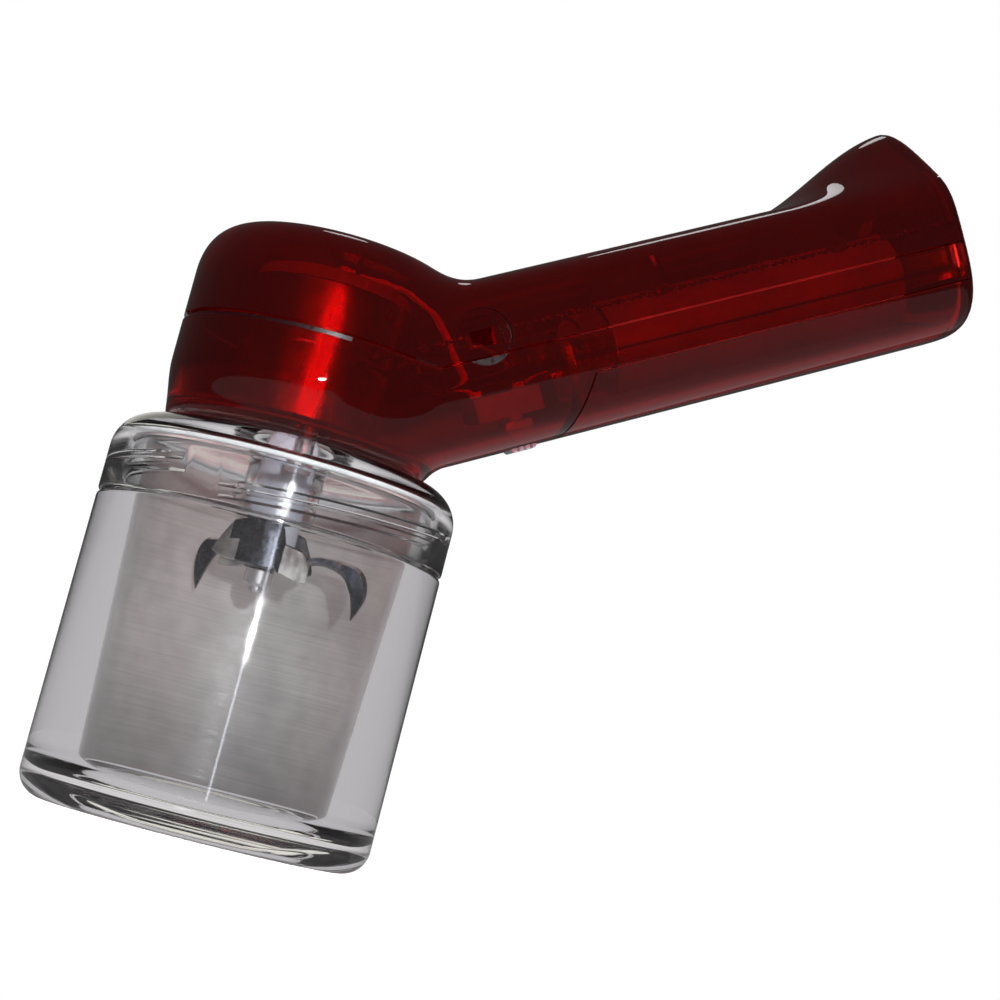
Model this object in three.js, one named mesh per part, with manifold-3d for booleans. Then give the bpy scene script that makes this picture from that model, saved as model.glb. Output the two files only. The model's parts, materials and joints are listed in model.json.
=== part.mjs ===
// A hand-held, battery-powered grinder for dried herbs: a clear threaded jar with a claw blade in its mouth,
// a round motor head above it, and a battery handle that rises at an angle from the head.
// Millimetres, +Z up along the jar, origin at the centre of the jar's base, handle towards +X.
import * as THREE from "three";
import { mergeVertices } from "three/addons/utils/BufferGeometryUtils.js";
import Module from "manifold-3d";

const wasm = await Module();
wasm.setup();

// ---------------------------------------------------------------- driving dimensions
const ROUND = 40; // facets round a large turned piece
const SMALL_ROUND = 20; // facets round a small turned piece
const GAP = 0.15; // half of the gap left between two pieces that meet

const JAR_R = 26;
const JAR_TOP = 44.9; // shoulder that stops against the lid's lower edge
const JAR_CORNER = 4;
const JAR_FLOOR = 4.2;
const CAVITY_R = 20.8;
const CAVITY_FOOT_R = 18.6;
const NECK_R = 22.6;
const NECK_TOP = 53.2;

const THREAD_STARTS = 3;
const THREAD_PITCH = 2.9;
const THREAD_LEAD = THREAD_STARTS * THREAD_PITCH;
const THREAD_FOOT = 46.9; // height where a jar ridge begins
const THREAD_ARC = 105; // degrees that one ridge covers
const JAR_CREST_R = 23.35;
const LID_CREST_R = 22.95;

const LID_FOOT = 45.2;
const LID_TOP = 57.6;
const LID_PLATE = 3;
const LID_SHOULDER = 5.6;
const LID_BORE_R = 23.65;
const TUBE_R = 5.7;
const TUBE_BORE_R = 4.3;
const TUBE_FOOT = 46.2;

const HEAD_R = 20.7;
const HEAD_FOOT_R = 19.6;
const HEAD_FOOT = 57.9;
const HEAD_TAPER = 9; // height over which the head narrows to its foot
const HEAD_FLOOR = 2;
const HEAD_TOP = 89.8;
const HEAD_SEAM = 73.4;
const WALL = 1.8;

const HANDLE_ANGLE = 30; // degrees above the horizontal
const HANDLE_PIVOT = 64.7; // height where the handle's centreline crosses the jar's axis
const HANDLE_START = 2;
const HANDLE_END = 104.8;
const HANDLE_HALF_WIDTH = 17.7;
const HANDLE_UP = 12.2; // from the seam to the top
const HANDLE_DOWN = 13.75; // from the seam to the underside
const HANDLE_SEAM = 0.1;
const UPPER_POWER = 4.5; // how boxy the section is above the seam
const LOWER_POWER = 3;
const HUMP_START = 78;
const HUMP_HEIGHT = 8.7;

const DOOR_START = 40.2; // where the door's front edge meets its side edges
const DOOR_EDGE = -5.9;
const DOOR_WALL = 1.5;
const DOOR_WALL_TOP = 10.8;
const UPPER_END = HANDLE_END - 1;

const RECESS_S = 24.7;
const RECESS_T = 3;
const RECESS_R = 4.25;
const RECESS_DEPTH = 1.1;
const WINDOW_LENGTH = 3.7;
const WINDOW_HEIGHT = 2.5;

const RIB_STATIONS = [54, 84];
const RIB_THICK = 1.2;
const BULKHEAD_FROM = 36.2;
const BULKHEAD_TO = 37.7;

const SLOT_START = 26.5;
const SLOT_LENGTH = 7.4;
const SLOT_HALF_WIDTH = 2.4;
const KNOB_START = 28.9;
const KNOB_LENGTH = 4.3;

const CELL_R = 7.25;
const CELL_BODY = 49.2;
const CELL_NUB = 1;
const CELL_NUB_R = 2.75;
const CELL_START = 44.2;
const CELL_Y = 7.5;
const CELL_T = -2.4;
const SPRING_R = 2.7;
const CONTACT_HEIGHT = 4.6;

const MOTOR_R = 11.9;
const MOTOR_FOOT = 60.2;
const MOTOR_CAN_TOP = 82.4;
const CAN_WALL = 0.8;
const SHAFT_R = 1;
const SHANK_R = 1.2;
const FIT = 0.03; // radial gap of a piece pressed on the shaft
const RUNNING = 0.06; // radial gap of the shaft in a bearing
const BEARING_R = 2.6;
const SCREW_CIRCLE_R = 8.5;
const SCREW_HOLE_R = 1.15;
const SCREW_R = 0.95;
const SCREW_HEAD_R = 1.9;
const MAGNET_BORE_R = 8.7;
const MAGNET_LOW = 64;
const MAGNET_HIGH = 80;
const MAGNET_SPREAD = 130; // degrees
const CORE_LOW = 65.5;
const CORE_HIGH = 77.5;
const POLES = [0, 120, 240]; // degrees
const POLE_R = 8.1;
const COMMUTATOR_R = 2.5;
const COMMUTATOR_LOW = 79.2;
const TERMINAL_Y = 6;
const SHAFT_FOOT = 50;

const SLEEVE_R = 4;
const SHANK_TOP = 49.6;
const SHANK_TIP = 35.1;
const SLEEVE_FOOT = 41.6;
const CLAW_PLATE = 40.2;
const WING_PLATE = 38.7;
const BLADE_THICK = 1.2;
const HUB_R = 3.6;
const CLAW_TURNS = [0, 140]; // degrees; the two claws aren't quite opposite each other

// ---------------------------------------------------------------- colours
const looks = {
  red_plastic: { color: 0x6a0a0e, roughness: 0.12, metalness: 0 },
  clear_plastic: { color: 0xdde0e2, roughness: 0.06, metalness: 0 },
  grey_plastic: { color: 0x6f7580, roughness: 0.45, metalness: 0 },
  blade_steel: { color: 0x4a4b50, roughness: 0.25, metalness: 1 },
  motor_steel: { color: 0xb4b5b8, roughness: 0.3, metalness: 1 },
  spring_steel: { color: 0xc8c8ca, roughness: 0.2, metalness: 1 },
  ferrite: { color: 0x2c2c30, roughness: 0.7, metalness: 0 },
  copper: { color: 0xb4703c, roughness: 0.3, metalness: 1 },
  bronze: { color: 0xa07a40, roughness: 0.4, metalness: 1 },
  end_cap_plastic: { color: 0xd8d4c8, roughness: 0.5, metalness: 0 },
  silicone: { color: 0xd0d2d4, roughness: 0.6, metalness: 0 },
  cell_jacket: { color: 0x8d8f92, roughness: 0.35, metalness: 0.6 },
  wire_red: { color: 0xa01818, roughness: 0.5, metalness: 0 },
  wire_black: { color: 0x1c1c1e, roughness: 0.5, metalness: 0 },
};

function material(look) {
  return new THREE.MeshStandardMaterial({ name: look, ...looks[look] });
}

function piece(name, look, geometry) {
  const mesh = new THREE.Mesh(geometry, material(look));
  mesh.name = name;
  return mesh;
}

// ---------------------------------------------------------------- shapes and solids
function radians(degrees) {
  return (degrees * Math.PI) / 180;
}

// The volume that a triangle list encloses, negative when its faces point inwards.
function enclosedVolume(points, triangles) {
  const a = new THREE.Vector3();
  const b = new THREE.Vector3();
  const c = new THREE.Vector3();
  let volume = 0;
  for (let i = 0; i < triangles.length; i += 3) {
    a.fromArray(points, 3 * triangles[i]);
    b.fromArray(points, 3 * triangles[i + 1]);
    c.fromArray(points, 3 * triangles[i + 2]);
    volume += a.dot(b.cross(c)) / 6;
  }
  return volume;
}

// Any closed geometry with shared vertices merged and its faces pointing out.
function closed(geometry) {
  const loose = geometry.index ? geometry.toNonIndexed() : geometry;
  const bare = new THREE.BufferGeometry();
  bare.setAttribute("position", loose.getAttribute("position"));
  const merged = mergeVertices(bare, 1e-4);
  const points = merged.attributes.position.array;
  const index = merged.index.array;
  const triangles = [];
  for (let i = 0; i < index.length; i += 3) {
    const [a, b, c] = index.slice(i, i + 3);
    if (a !== b && b !== c && c !== a) triangles.push(a, b, c);
  }
  if (enclosedVolume(points, triangles) < 0) triangles.reverse();
  merged.setIndex(triangles);
  return merged;
}

function solid(geometry) {
  const shape = closed(geometry);
  const vertProperties = shape.attributes.position.array;
  const triVerts = new Uint32Array(shape.index.array);
  return new wasm.Manifold(new wasm.Mesh({ numProp: 3, vertProperties, triVerts }));
}

function geometryOf(made) {
  const mesh = made.getMesh();
  const geometry = new THREE.BufferGeometry();
  geometry.setAttribute("position", new THREE.BufferAttribute(mesh.vertProperties, 3));
  geometry.setIndex(new THREE.BufferAttribute(mesh.triVerts, 1));
  return geometry;
}

// A profile of [radius, height] points turned about the Z axis. A ring's profile is closed by `ring`.
function turned(profile, facets = SMALL_ROUND, ring = false) {
  const points = profile.map(([r, z]) => new THREE.Vector2(r, z));
  if (ring) points.push(points[0].clone());
  return new THREE.LatheGeometry(points, facets).rotateX(Math.PI / 2);
}

function disc(radius, low, high, facets = SMALL_ROUND) {
  return turned([[0, low], [radius, low], [radius, high], [0, high]], facets);
}

function ring(inner, outer, low, high, facets = SMALL_ROUND) {
  return turned([[inner, low], [outer, low], [outer, high], [inner, high]], facets, true);
}

function box(x, y, z) {
  const size = [x[1] - x[0], y[1] - y[0], z[1] - z[0]];
  const middle = [(x[0] + x[1]) / 2, (y[0] + y[1]) / 2, (z[0] + z[1]) / 2];
  return new THREE.BoxGeometry(...size).translate(...middle);
}

// An outline of [x, z] points, given a width in Y that is centred on y = 0.
function slab(outline, width) {
  const shape = new THREE.Shape(outline.map(([x, z]) => new THREE.Vector2(x, z)));
  const made = new THREE.ExtrudeGeometry(shape, { depth: width, bevelEnabled: false });
  return made.rotateX(Math.PI / 2).translate(0, width / 2, 0);
}

// A cylinder along X between two stations.
function rod(radius, from, to, y, z, facets = SMALL_ROUND) {
  return disc(radius, from, to, facets).rotateY(Math.PI / 2).translate(0, y, z);
}

// A cylinder along Y between two stations.
function crossRod(radius, from, to, x, z, facets = SMALL_ROUND) {
  return disc(radius, from, to, facets).rotateX(-Math.PI / 2).translate(x, 0, z);
}

// A round wire along a curve.
function wire(curve, radius, steps, sides = 6) {
  const shape = new THREE.Shape();
  for (let i = 0; i < sides; i += 1) {
    const angle = (2 * Math.PI * i) / sides;
    const point = [radius * Math.cos(angle), radius * Math.sin(angle)];
    if (i === 0) shape.moveTo(...point);
    else shape.lineTo(...point);
  }
  return new THREE.ExtrudeGeometry(shape, { steps, extrudePath: curve, bevelEnabled: false });
}

// Joins rings of points, all with the same count, into one closed skin with fan ends.
function loft(rings) {
  const count = rings[0].length;
  const points = rings.flat(2);
  const triangles = [];
  for (let i = 0; i < rings.length - 1; i += 1) {
    for (let j = 0; j < count; j += 1) {
      const a = i * count + j;
      const b = i * count + ((j + 1) % count);
      triangles.push(a, b, b + count, a, b + count, a + count);
    }
  }
  for (const [start, flip] of [[0, true], [(rings.length - 1) * count, false]]) {
    const middle = points.length / 3;
    for (let axis = 0; axis < 3; axis += 1) {
      let sum = 0;
      for (let j = 0; j < count; j += 1) sum += points[3 * (start + j) + axis];
      points.push(sum / count);
    }
    for (let j = 0; j < count; j += 1) {
      const a = start + j;
      const b = start + ((j + 1) % count);
      triangles.push(...(flip ? [middle, b, a] : [middle, a, b]));
    }
  }
  const geometry = new THREE.BufferGeometry();
  geometry.setAttribute("position", new THREE.Float32BufferAttribute(points, 3));
  geometry.setIndex(triangles);
  return geometry;
}

// Moves a shape from the handle's frame, X along the handle, into the part's frame.
function inHandle(geometry) {
  return geometry.rotateY(-radians(HANDLE_ANGLE)).translate(0, 0, HANDLE_PIVOT);
}

function handlePoint(s, t) {
  const angle = radians(HANDLE_ANGLE);
  const x = s * Math.cos(angle) - t * Math.sin(angle);
  const z = HANDLE_PIVOT + s * Math.sin(angle) + t * Math.cos(angle);
  return [x, z];
}

function arc(centre, radius, from, to, steps) {
  const points = [];
  for (let i = 0; i <= steps; i += 1) {
    const angle = radians(from + ((to - from) * i) / steps);
    points.push([centre[0] + radius * Math.cos(angle), centre[1] + radius * Math.sin(angle)]);
  }
  return points;
}

// ---------------------------------------------------------------- jar, lid and seal
// One helical ridge. Its section is a trapezium from the wall radius to the crest radius,
// and it fades into the wall at both ends.
function threadRidge(wallR, crestR, foot, turn) {
  const root = 0.3; // how far the ridge is sunk in its wall
  const steps = 10;
  const rings = [];
  const inward = Math.sign(wallR - crestR);
  for (let i = 0; i <= steps; i += 1) {
    const along = i / steps;
    const angle = radians(turn + THREAD_ARC * along);
    const z = foot + (THREAD_LEAD * THREAD_ARC * along) / 360;
    const end = i === 0 || i === steps;
    const crest = end ? wallR + inward * 0.1 : crestR;
    const sunk = wallR + inward * root;
    const section = [[sunk, -0.65], [crest, -0.4], [crest, 0.4], [sunk, 0.65]];
    rings.push(section.map(([r, dz]) => [r * Math.cos(angle), r * Math.sin(angle), z + dz]));
  }
  return loft(rings);
}

function threadRidges(wallR, crestR, foot) {
  const ridges = [];
  for (let i = 0; i < THREAD_STARTS; i += 1) {
    ridges.push(solid(threadRidge(wallR, crestR, foot, (360 * i) / THREAD_STARTS)));
  }
  return ridges;
}

function jar() {
  const footCorner = 3.8;
  const outline = [
    [0, 0],
    ...arc([JAR_R - JAR_CORNER, JAR_CORNER], JAR_CORNER, -90, 0, 5),
    [JAR_R, JAR_TOP - 0.6],
    [JAR_R - 0.6, JAR_TOP],
    [NECK_R, JAR_TOP],
    [NECK_R, NECK_TOP - 0.5],
    [NECK_R - 0.5, NECK_TOP],
    [CAVITY_R, NECK_TOP],
    ...arc([CAVITY_FOOT_R - footCorner, JAR_FLOOR + footCorner], footCorner, 0, -90, 4),
    [0, JAR_FLOOR],
  ];
  let made = solid(turned(outline, ROUND));
  for (const ridge of threadRidges(NECK_R, JAR_CREST_R, THREAD_FOOT)) made = made.add(ridge);
  return piece("jar", "clear_plastic", geometryOf(made));
}

function jarSeal() {
  const low = NECK_TOP + 2 * GAP;
  const high = LID_TOP - LID_PLATE - 2 * GAP;
  return piece("jar_seal", "silicone", ring(20.7, 23.2, low, high, ROUND));
}

function clearLid() {
  const underside = LID_TOP - LID_PLATE;
  const outline = [
    [TUBE_BORE_R, TUBE_FOOT],
    [TUBE_R, TUBE_FOOT],
    [TUBE_R, underside],
    [LID_BORE_R, underside],
    [LID_BORE_R, LID_FOOT],
    [JAR_R, LID_FOOT],
    ...arc([JAR_R - LID_SHOULDER, LID_TOP - LID_SHOULDER], LID_SHOULDER, 0, 90, 5),
    [TUBE_BORE_R, LID_TOP],
  ];
  let made = solid(turned(outline, ROUND, true));
  const lidFoot = THREAD_FOOT + THREAD_PITCH / 2;
  for (const ridge of threadRidges(LID_BORE_R, LID_CREST_R, lidFoot)) made = made.add(ridge);
  for (const y of [-SCREW_CIRCLE_R, SCREW_CIRCLE_R]) {
    made = made.subtract(solid(disc(SCREW_HOLE_R, underside - 1, LID_TOP + 1, 12).translate(0, y, 0)));
  }
  return piece("clear_lid", "clear_plastic", geometryOf(made));
}

// ---------------------------------------------------------------- housing shells
// The top of the handle swells into a hump towards its end.
function humpAt(s) {
  const along = THREE.MathUtils.clamp((s - HUMP_START) / (HANDLE_END - HUMP_START), 0, 1);
  return HUMP_HEIGHT * Math.sin((Math.PI / 2) * along) ** 1.6;
}

// The handle's cross-section at a station: boxy above the seam, rounder below it.
function handleSection(s, inset) {
  const count = 28;
  const points = [];
  for (let i = 0; i < count; i += 1) {
    const angle = (2 * Math.PI * i) / count;
    const upper = Math.sin(angle) >= 0;
    const power = 2 / (upper ? UPPER_POWER : LOWER_POWER);
    const across = Math.sign(Math.cos(angle)) * Math.abs(Math.cos(angle)) ** power;
    const rise = Math.abs(Math.sin(angle)) ** power;
    const y = (HANDLE_HALF_WIDTH - inset) * across;
    const hump = humpAt(s) * Math.cos((Math.PI / 2) * across) ** 2;
    const t = upper ? (HANDLE_UP - inset) * rise + hump : -(HANDLE_DOWN - inset) * rise;
    points.push([s, y, HANDLE_SEAM + t]);
  }
  return points;
}

function handleLoft(from, to, inset) {
  const stations = [from];
  for (let s = HUMP_START; s < to; s += 4) {
    if (s > from) stations.push(s);
  }
  stations.push(to);
  return inHandle(loft(stations.map((s) => handleSection(s, inset))));
}

function headBarrel(inset, floor) {
  const top = HEAD_TOP - inset;
  const outline = [
    [0, floor],
    [HEAD_FOOT_R - inset, floor],
    [HEAD_R - inset, HEAD_FOOT + HEAD_TAPER],
    [HEAD_R - inset, top - 8.5],
    [HEAD_R - inset - 1, top - 5.2],
    [HEAD_R - inset - 3.2, top - 2.9],
    [HEAD_R - inset - 6.7, top - 1.2],
    [HEAD_R - inset - 12, top - 0.3],
    [0, top],
  ];
  return turned(outline, ROUND);
}

function aboveLevel(low) {
  return solid(box([-60, 160], [-60, 60], [low, 200]));
}

function hollowInside() {
  const floor = HEAD_FOOT + HEAD_FLOOR;
  const bay = solid(handleLoft(HANDLE_START, HANDLE_END - 2.8, WALL));
  const doorBay = solid(handleLoft(HANDLE_END - 4, HANDLE_END - DOOR_WALL, WALL));
  const belowLip = solid(inHandle(box([90, 110], [-30, 30], [-30, DOOR_WALL_TOP - WALL])));
  return solid(headBarrel(WALL, floor))
    .add(bay.intersect(aboveLevel(floor)))
    .add(doorBay.intersect(belowLip));
}

// The whole outer shell, before it is parted.
function wholeShell() {
  const handle = solid(handleLoft(HANDLE_START, HANDLE_END, 0)).intersect(aboveLevel(HEAD_FOOT));
  const setBack = solid(inHandle(box([UPPER_END, 120], [-30, 30], [DOOR_WALL_TOP + GAP, 40])));
  const outside = solid(headBarrel(0, HEAD_FOOT)).add(handle).subtract(setBack);
  return outside.subtract(hollowInside());
}

// Everything above the seam, which runs level round the head and then along the handle.
function aboveSeam(shift) {
  const level = HEAD_SEAM + shift;
  const turn = (level - HANDLE_PIVOT) * 2 - (HANDLE_SEAM + shift) * 2 * Math.cos(radians(HANDLE_ANGLE));
  const outline = [
    [-60, level],
    handlePoint(turn, HANDLE_SEAM + shift),
    handlePoint(150, HANDLE_SEAM + shift),
    [100, 200],
    [-60, 200],
  ];
  return solid(slab(outline, 80));
}

// The space of the battery door: the rear underside and a thin end wall. Its front edge leans
// so that it is parallel to the jar's axis.
function doorSpace(grow) {
  const start = DOOR_START - grow;
  const edge = DOOR_EDGE + grow;
  const wall = HANDLE_END - DOOR_WALL - grow;
  const top = DOOR_WALL_TOP + grow;
  const below = edge - 25;
  const lean = 25 * Math.tan(radians(HANDLE_ANGLE));
  const outline = [
    [start - lean, below],
    [130, below],
    [130, top],
    [wall, top],
    [wall, edge],
    [start, edge],
  ];
  return solid(inHandle(slab(outline, 80)));
}

// A round recess at each side of the neck, with a rectangular catch window at its centre.
function catchRecesses() {
  const windowDepth = 1.5;
  let cut = null;
  for (const side of [-1, 1]) {
    const outer = side * (HANDLE_HALF_WIDTH + 2);
    const floor = side * (HANDLE_HALF_WIDTH - RECESS_DEPTH);
    const recess = crossRod(RECESS_R, Math.min(outer, floor), Math.max(outer, floor), RECESS_S, RECESS_T);
    const window = box(
      [RECESS_S - WINDOW_LENGTH / 2, RECESS_S + WINDOW_LENGTH / 2],
      [floor - windowDepth, floor + windowDepth],
      [RECESS_T - WINDOW_HEIGHT / 2, RECESS_T + WINDOW_HEIGHT / 2],
    );
    const both = solid(inHandle(recess)).add(solid(inHandle(window)));
    cut = cut ? cut.add(both) : both;
  }
  return cut;
}

// Thin walls across the upper shell that hold the cells down.
function upperRibs() {
  let ribs = null;
  for (const s of RIB_STATIONS) {
    const across = [s - RIB_THICK / 2, s + RIB_THICK / 2];
    const wall = solid(inHandle(box(across, [-30, 30], [HANDLE_SEAM + 3, 40])));
    ribs = ribs ? ribs.add(wall) : wall;
  }
  for (const y of [-CELL_Y, CELL_Y]) {
    const cell = rod(CELL_R + 0.4, CELL_START - 5, HANDLE_END - 5, y, CELL_T);
    ribs = ribs.subtract(solid(inHandle(cell)));
  }
  const reach = solid(handleLoft(HANDLE_START, HANDLE_END - 2, WALL - 0.5));
  return ribs.intersect(reach);
}

// The wall in the lower shell that carries the front contacts, with a slot for the wires.
function bulkhead() {
  const wall = solid(inHandle(box([BULKHEAD_FROM, BULKHEAD_TO], [-30, 30], [-30, HANDLE_SEAM - GAP])));
  const slot = solid(inHandle(box([BULKHEAD_FROM - 1, BULKHEAD_TO + 1], [-2, 2], [-6.5, 3])));
  const reach = solid(handleLoft(HANDLE_START, HANDLE_END - 2, WALL - 0.5));
  return wall.subtract(slot).intersect(reach);
}

function upperHousing() {
  const made = wholeShell()
    .add(upperRibs())
    .intersect(aboveSeam(GAP))
    .subtract(doorSpace(2 * GAP))
    .subtract(catchRecesses());
  return piece("upper_housing", "red_plastic", geometryOf(made));
}

function lowerHousing() {
  let made = wholeShell()
    .subtract(aboveSeam(-GAP))
    .add(bulkhead())
    .subtract(doorSpace(2 * GAP))
    .subtract(catchRecesses());
  made = made.subtract(solid(disc(BEARING_R + 0.6, HEAD_FOOT - 1, HEAD_FOOT + HEAD_FLOOR + 1)));
  for (const y of [-SCREW_CIRCLE_R, SCREW_CIRCLE_R]) {
    made = made.subtract(
      solid(disc(SCREW_HOLE_R, HEAD_FOOT - 1, HEAD_FOOT + HEAD_FLOOR + 1, 12).translate(0, y, 0)),
    );
  }
  const slotWidth = [-SLOT_HALF_WIDTH, SLOT_HALF_WIDTH];
  const slot = box([SLOT_START, SLOT_START + SLOT_LENGTH], slotWidth, [-20, -9]);
  made = made.subtract(solid(inHandle(slot)));
  return piece("lower_housing", "red_plastic", geometryOf(made));
}

function batteryDoor() {
  const made = wholeShell().intersect(doorSpace(0));
  return piece("battery_door", "red_plastic", geometryOf(made));
}

// ---------------------------------------------------------------- motor
function motorCan() {
  const inner = MOTOR_R - CAN_WALL;
  const outline = [
    [BEARING_R + GAP, MOTOR_FOOT],
    [MOTOR_R - 0.8, MOTOR_FOOT],
    [MOTOR_R, MOTOR_FOOT + 0.8],
    [MOTOR_R, MOTOR_CAN_TOP],
    [inner, MOTOR_CAN_TOP],
    [inner, MOTOR_FOOT + CAN_WALL],
    [BEARING_R + GAP, MOTOR_FOOT + CAN_WALL],
  ];
  let made = solid(turned(outline, 32, true));
  for (const y of [-SCREW_CIRCLE_R, SCREW_CIRCLE_R]) {
    const hole = disc(SCREW_HOLE_R, MOTOR_FOOT - 1, MOTOR_FOOT + 2, 12).translate(0, y, 0);
    made = made.subtract(solid(hole));
  }
  return piece("motor_can", "motor_steel", geometryOf(made));
}

// A sector of a ring, extruded upwards.
function ringSector(inner, outer, middle, spread, low, high) {
  const from = radians(middle - spread / 2);
  const to = radians(middle + spread / 2);
  const shape = new THREE.Shape();
  shape.absarc(0, 0, outer, from, to, false);
  shape.absarc(0, 0, inner, to, from, true);
  const options = { depth: high - low, bevelEnabled: false, curveSegments: 8 };
  return new THREE.ExtrudeGeometry(shape, options).translate(0, 0, low);
}

function magnets() {
  const outer = MOTOR_R - CAN_WALL - 0.2;
  return ["magnet_left", "magnet_right"].map((name, i) => {
    const sector = ringSector(MAGNET_BORE_R, outer, 180 * i, MAGNET_SPREAD, MAGNET_LOW, MAGNET_HIGH);
    return piece(name, "ferrite", closed(sector));
  });
}

function motorEndCap() {
  const cap = ring(BEARING_R + GAP, MOTOR_R - 0.1, MOTOR_CAN_TOP + 0.2, MOTOR_CAN_TOP + 2.2, 32);
  return piece("motor_end_cap", "end_cap_plastic", cap);
}

function bearings() {
  const inner = SHAFT_R + RUNNING;
  return [
    piece("lower_bearing", "bronze", ring(inner, BEARING_R, MOTOR_FOOT - 1.2, MOTOR_FOOT + 2.4)),
    piece("upper_bearing", "bronze", ring(inner, BEARING_R, MOTOR_CAN_TOP, MOTOR_CAN_TOP + 2.6)),
  ];
}

// Each brush is a leaf that presses on the commutator, and each terminal is a tab on the end cap.
function brushesAndTerminals() {
  const made = [];
  for (const [side, sign] of [["front", -1], ["rear", 1]]) {
    const leaf = box([-1, 1], [COMMUTATOR_R + 0.25, COMMUTATOR_R + 0.6], [79, MOTOR_CAN_TOP]);
    if (sign < 0) leaf.rotateZ(Math.PI);
    const tab = box([-1.1, 1.1], [-0.25, 0.25], [MOTOR_CAN_TOP + 2.4, MOTOR_CAN_TOP + 4.8]);
    made.push(piece("brush_" + side, "copper", leaf));
    made.push(piece("motor_terminal_" + side, "copper", tab.translate(0, sign * TERMINAL_Y, 0)));
  }
  return made;
}

function motorScrews() {
  return [["motor_screw_front", -1], ["motor_screw_rear", 1]].map(([name, side]) => {
    const under = LID_TOP - LID_PLATE - 0.2;
    const outline = [
      [0, under - 1.2],
      [SCREW_HEAD_R, under - 1.2],
      [SCREW_HEAD_R, under],
      [SCREW_R, under],
      [SCREW_R, MOTOR_FOOT + 2.6],
      [0, MOTOR_FOOT + 2.6],
    ];
    const screw = piece(name, "motor_steel", turned(outline, 12));
    screw.position.set(0, side * SCREW_CIRCLE_R, 0);
    return screw;
  });
}

function motorShaft() {
  return piece("motor_shaft", "motor_steel", disc(SHAFT_R, SHAFT_FOOT, MOTOR_CAN_TOP + 3.4));
}

function armatureCore() {
  let made = solid(ring(SHAFT_R + FIT, 3, CORE_LOW, CORE_HIGH));
  for (const pole of POLES) {
    const neck = box([2.5, 7], [-1.4, 1.4], [CORE_LOW, CORE_HIGH]);
    made = made.add(solid(neck.rotateZ(radians(pole))));
    made = made.add(solid(ringSector(POLE_R - 1.6, POLE_R, pole, 96, CORE_LOW, CORE_HIGH)));
  }
  return piece("armature_core", "motor_steel", geometryOf(made));
}

// One coil wound round the neck of each pole.
function armatureCoils() {
  return POLES.map((pole, i) => {
    const around = solid(box([3.5, 5.6], [-2.9, 2.9], [CORE_LOW - 1.3, CORE_HIGH + 1.3]));
    const neck = solid(box([3, 7], [-1.6, 1.6], [CORE_LOW - 0.2, CORE_HIGH + 0.2]));
    const coil = piece("armature_coil_" + (i + 1), "copper", geometryOf(around.subtract(neck)));
    coil.rotation.z = radians(pole);
    return coil;
  });
}

function commutator() {
  const made = ring(SHAFT_R + FIT, COMMUTATOR_R, COMMUTATOR_LOW, MOTOR_CAN_TOP - 0.4);
  return piece("commutator", "copper", made);
}

// ---------------------------------------------------------------- drive sleeve and blades
function shaftSleeve() {
  const outline = [
    [SHANK_R + FIT, SLEEVE_FOOT],
    [SLEEVE_R - 0.3, SLEEVE_FOOT],
    [SLEEVE_R, SLEEVE_FOOT + 0.3],
    [SLEEVE_R, HEAD_FOOT - 0.7],
    [SHAFT_R + FIT, HEAD_FOOT - 0.7],
    [SHAFT_R + FIT, SHANK_TOP + 0.2],
    [SHANK_R + FIT, SHANK_TOP + 0.2],
  ];
  return piece("shaft_sleeve", "grey_plastic", turned(outline, 24, true));
}

function bladeShank() {
  return piece("blade_shank", "motor_steel", disc(SHANK_R, SHANK_TIP, SHANK_TOP, 16));
}

// Two long arms in one plate, each ending in a claw that curves down to a point.
function clawBlade() {
  const low = CLAW_PLATE;
  const high = CLAW_PLATE + BLADE_THICK;
  const claw = [
    [1, low],
    [6.5, low + 0.4],
    [10.6, low + 1.1],
    [12.2, low - 0.4],
    [13.6, low - 3],
    [14.4, low - 5.6],
    [15.6, low - 2],
    [15.4, low + 0.6],
    [13.8, low + 2.2],
    [11, low + 2.6],
    [6.5, high + 0.4],
    [1, high],
  ];
  let made = solid(disc(HUB_R, low, high));
  for (const turn of CLAW_TURNS) {
    made = made.add(solid(slab(claw, 2.6).rotateZ(radians(turn))));
  }
  made = made.subtract(solid(disc(SHANK_R + FIT, low - 2, high + 2, 16)));
  return piece("claw_blade", "blade_steel", geometryOf(made));
}

// A second plate, crossing the first, with two wings folded up beside the sleeve.
function wingBlade() {
  const low = WING_PLATE;
  const high = WING_PLATE + BLADE_THICK;
  const fold = 5.2;
  const wing = [
    [1, low],
    [fold + 1.6, low],
    [fold + 1.6, low + 0.8],
    [fold + 1.2, low + 7.1],
    [fold, low + 7.1],
    [fold, high],
    [1, high],
  ];
  let made = solid(disc(HUB_R, low, high));
  for (const turn of [90, 270]) {
    made = made.add(solid(slab(wing, 5.6).rotateZ(radians(turn))));
  }
  made = made.subtract(solid(disc(SHANK_R + FIT, low - 1, high + 1, 16)));
  return piece("wing_blade", "blade_steel", geometryOf(made));
}

function bladeNut() {
  const low = SHANK_TIP + 0.9;
  const hexagon = solid(disc(2.2, low, WING_PLATE - 0.1, 6));
  const hole = solid(disc(SHANK_R + FIT, low - 1, WING_PLATE + 1, 16));
  return piece("blade_nut", "motor_steel", geometryOf(hexagon.subtract(hole)));
}

// ---------------------------------------------------------------- switch, in the handle's frame
function switchBody() {
  const outside = solid(box([24.4, 35], [-4, 4], [-9.3, -5.2]));
  const well = solid(box([SLOT_START, SLOT_START + SLOT_LENGTH], [-1.4, 1.4], [-10, -7]));
  return piece("switch_body", "end_cap_plastic", geometryOf(outside.subtract(well)));
}

function switchTerminals() {
  return [["switch_terminal_front", 26], ["switch_terminal_rear", 33]].map(([name, s]) => {
    return piece(name, "copper", box([s - 0.9, s + 0.9], [-0.25, 0.25], [-5, -3.2]));
  });
}

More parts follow.
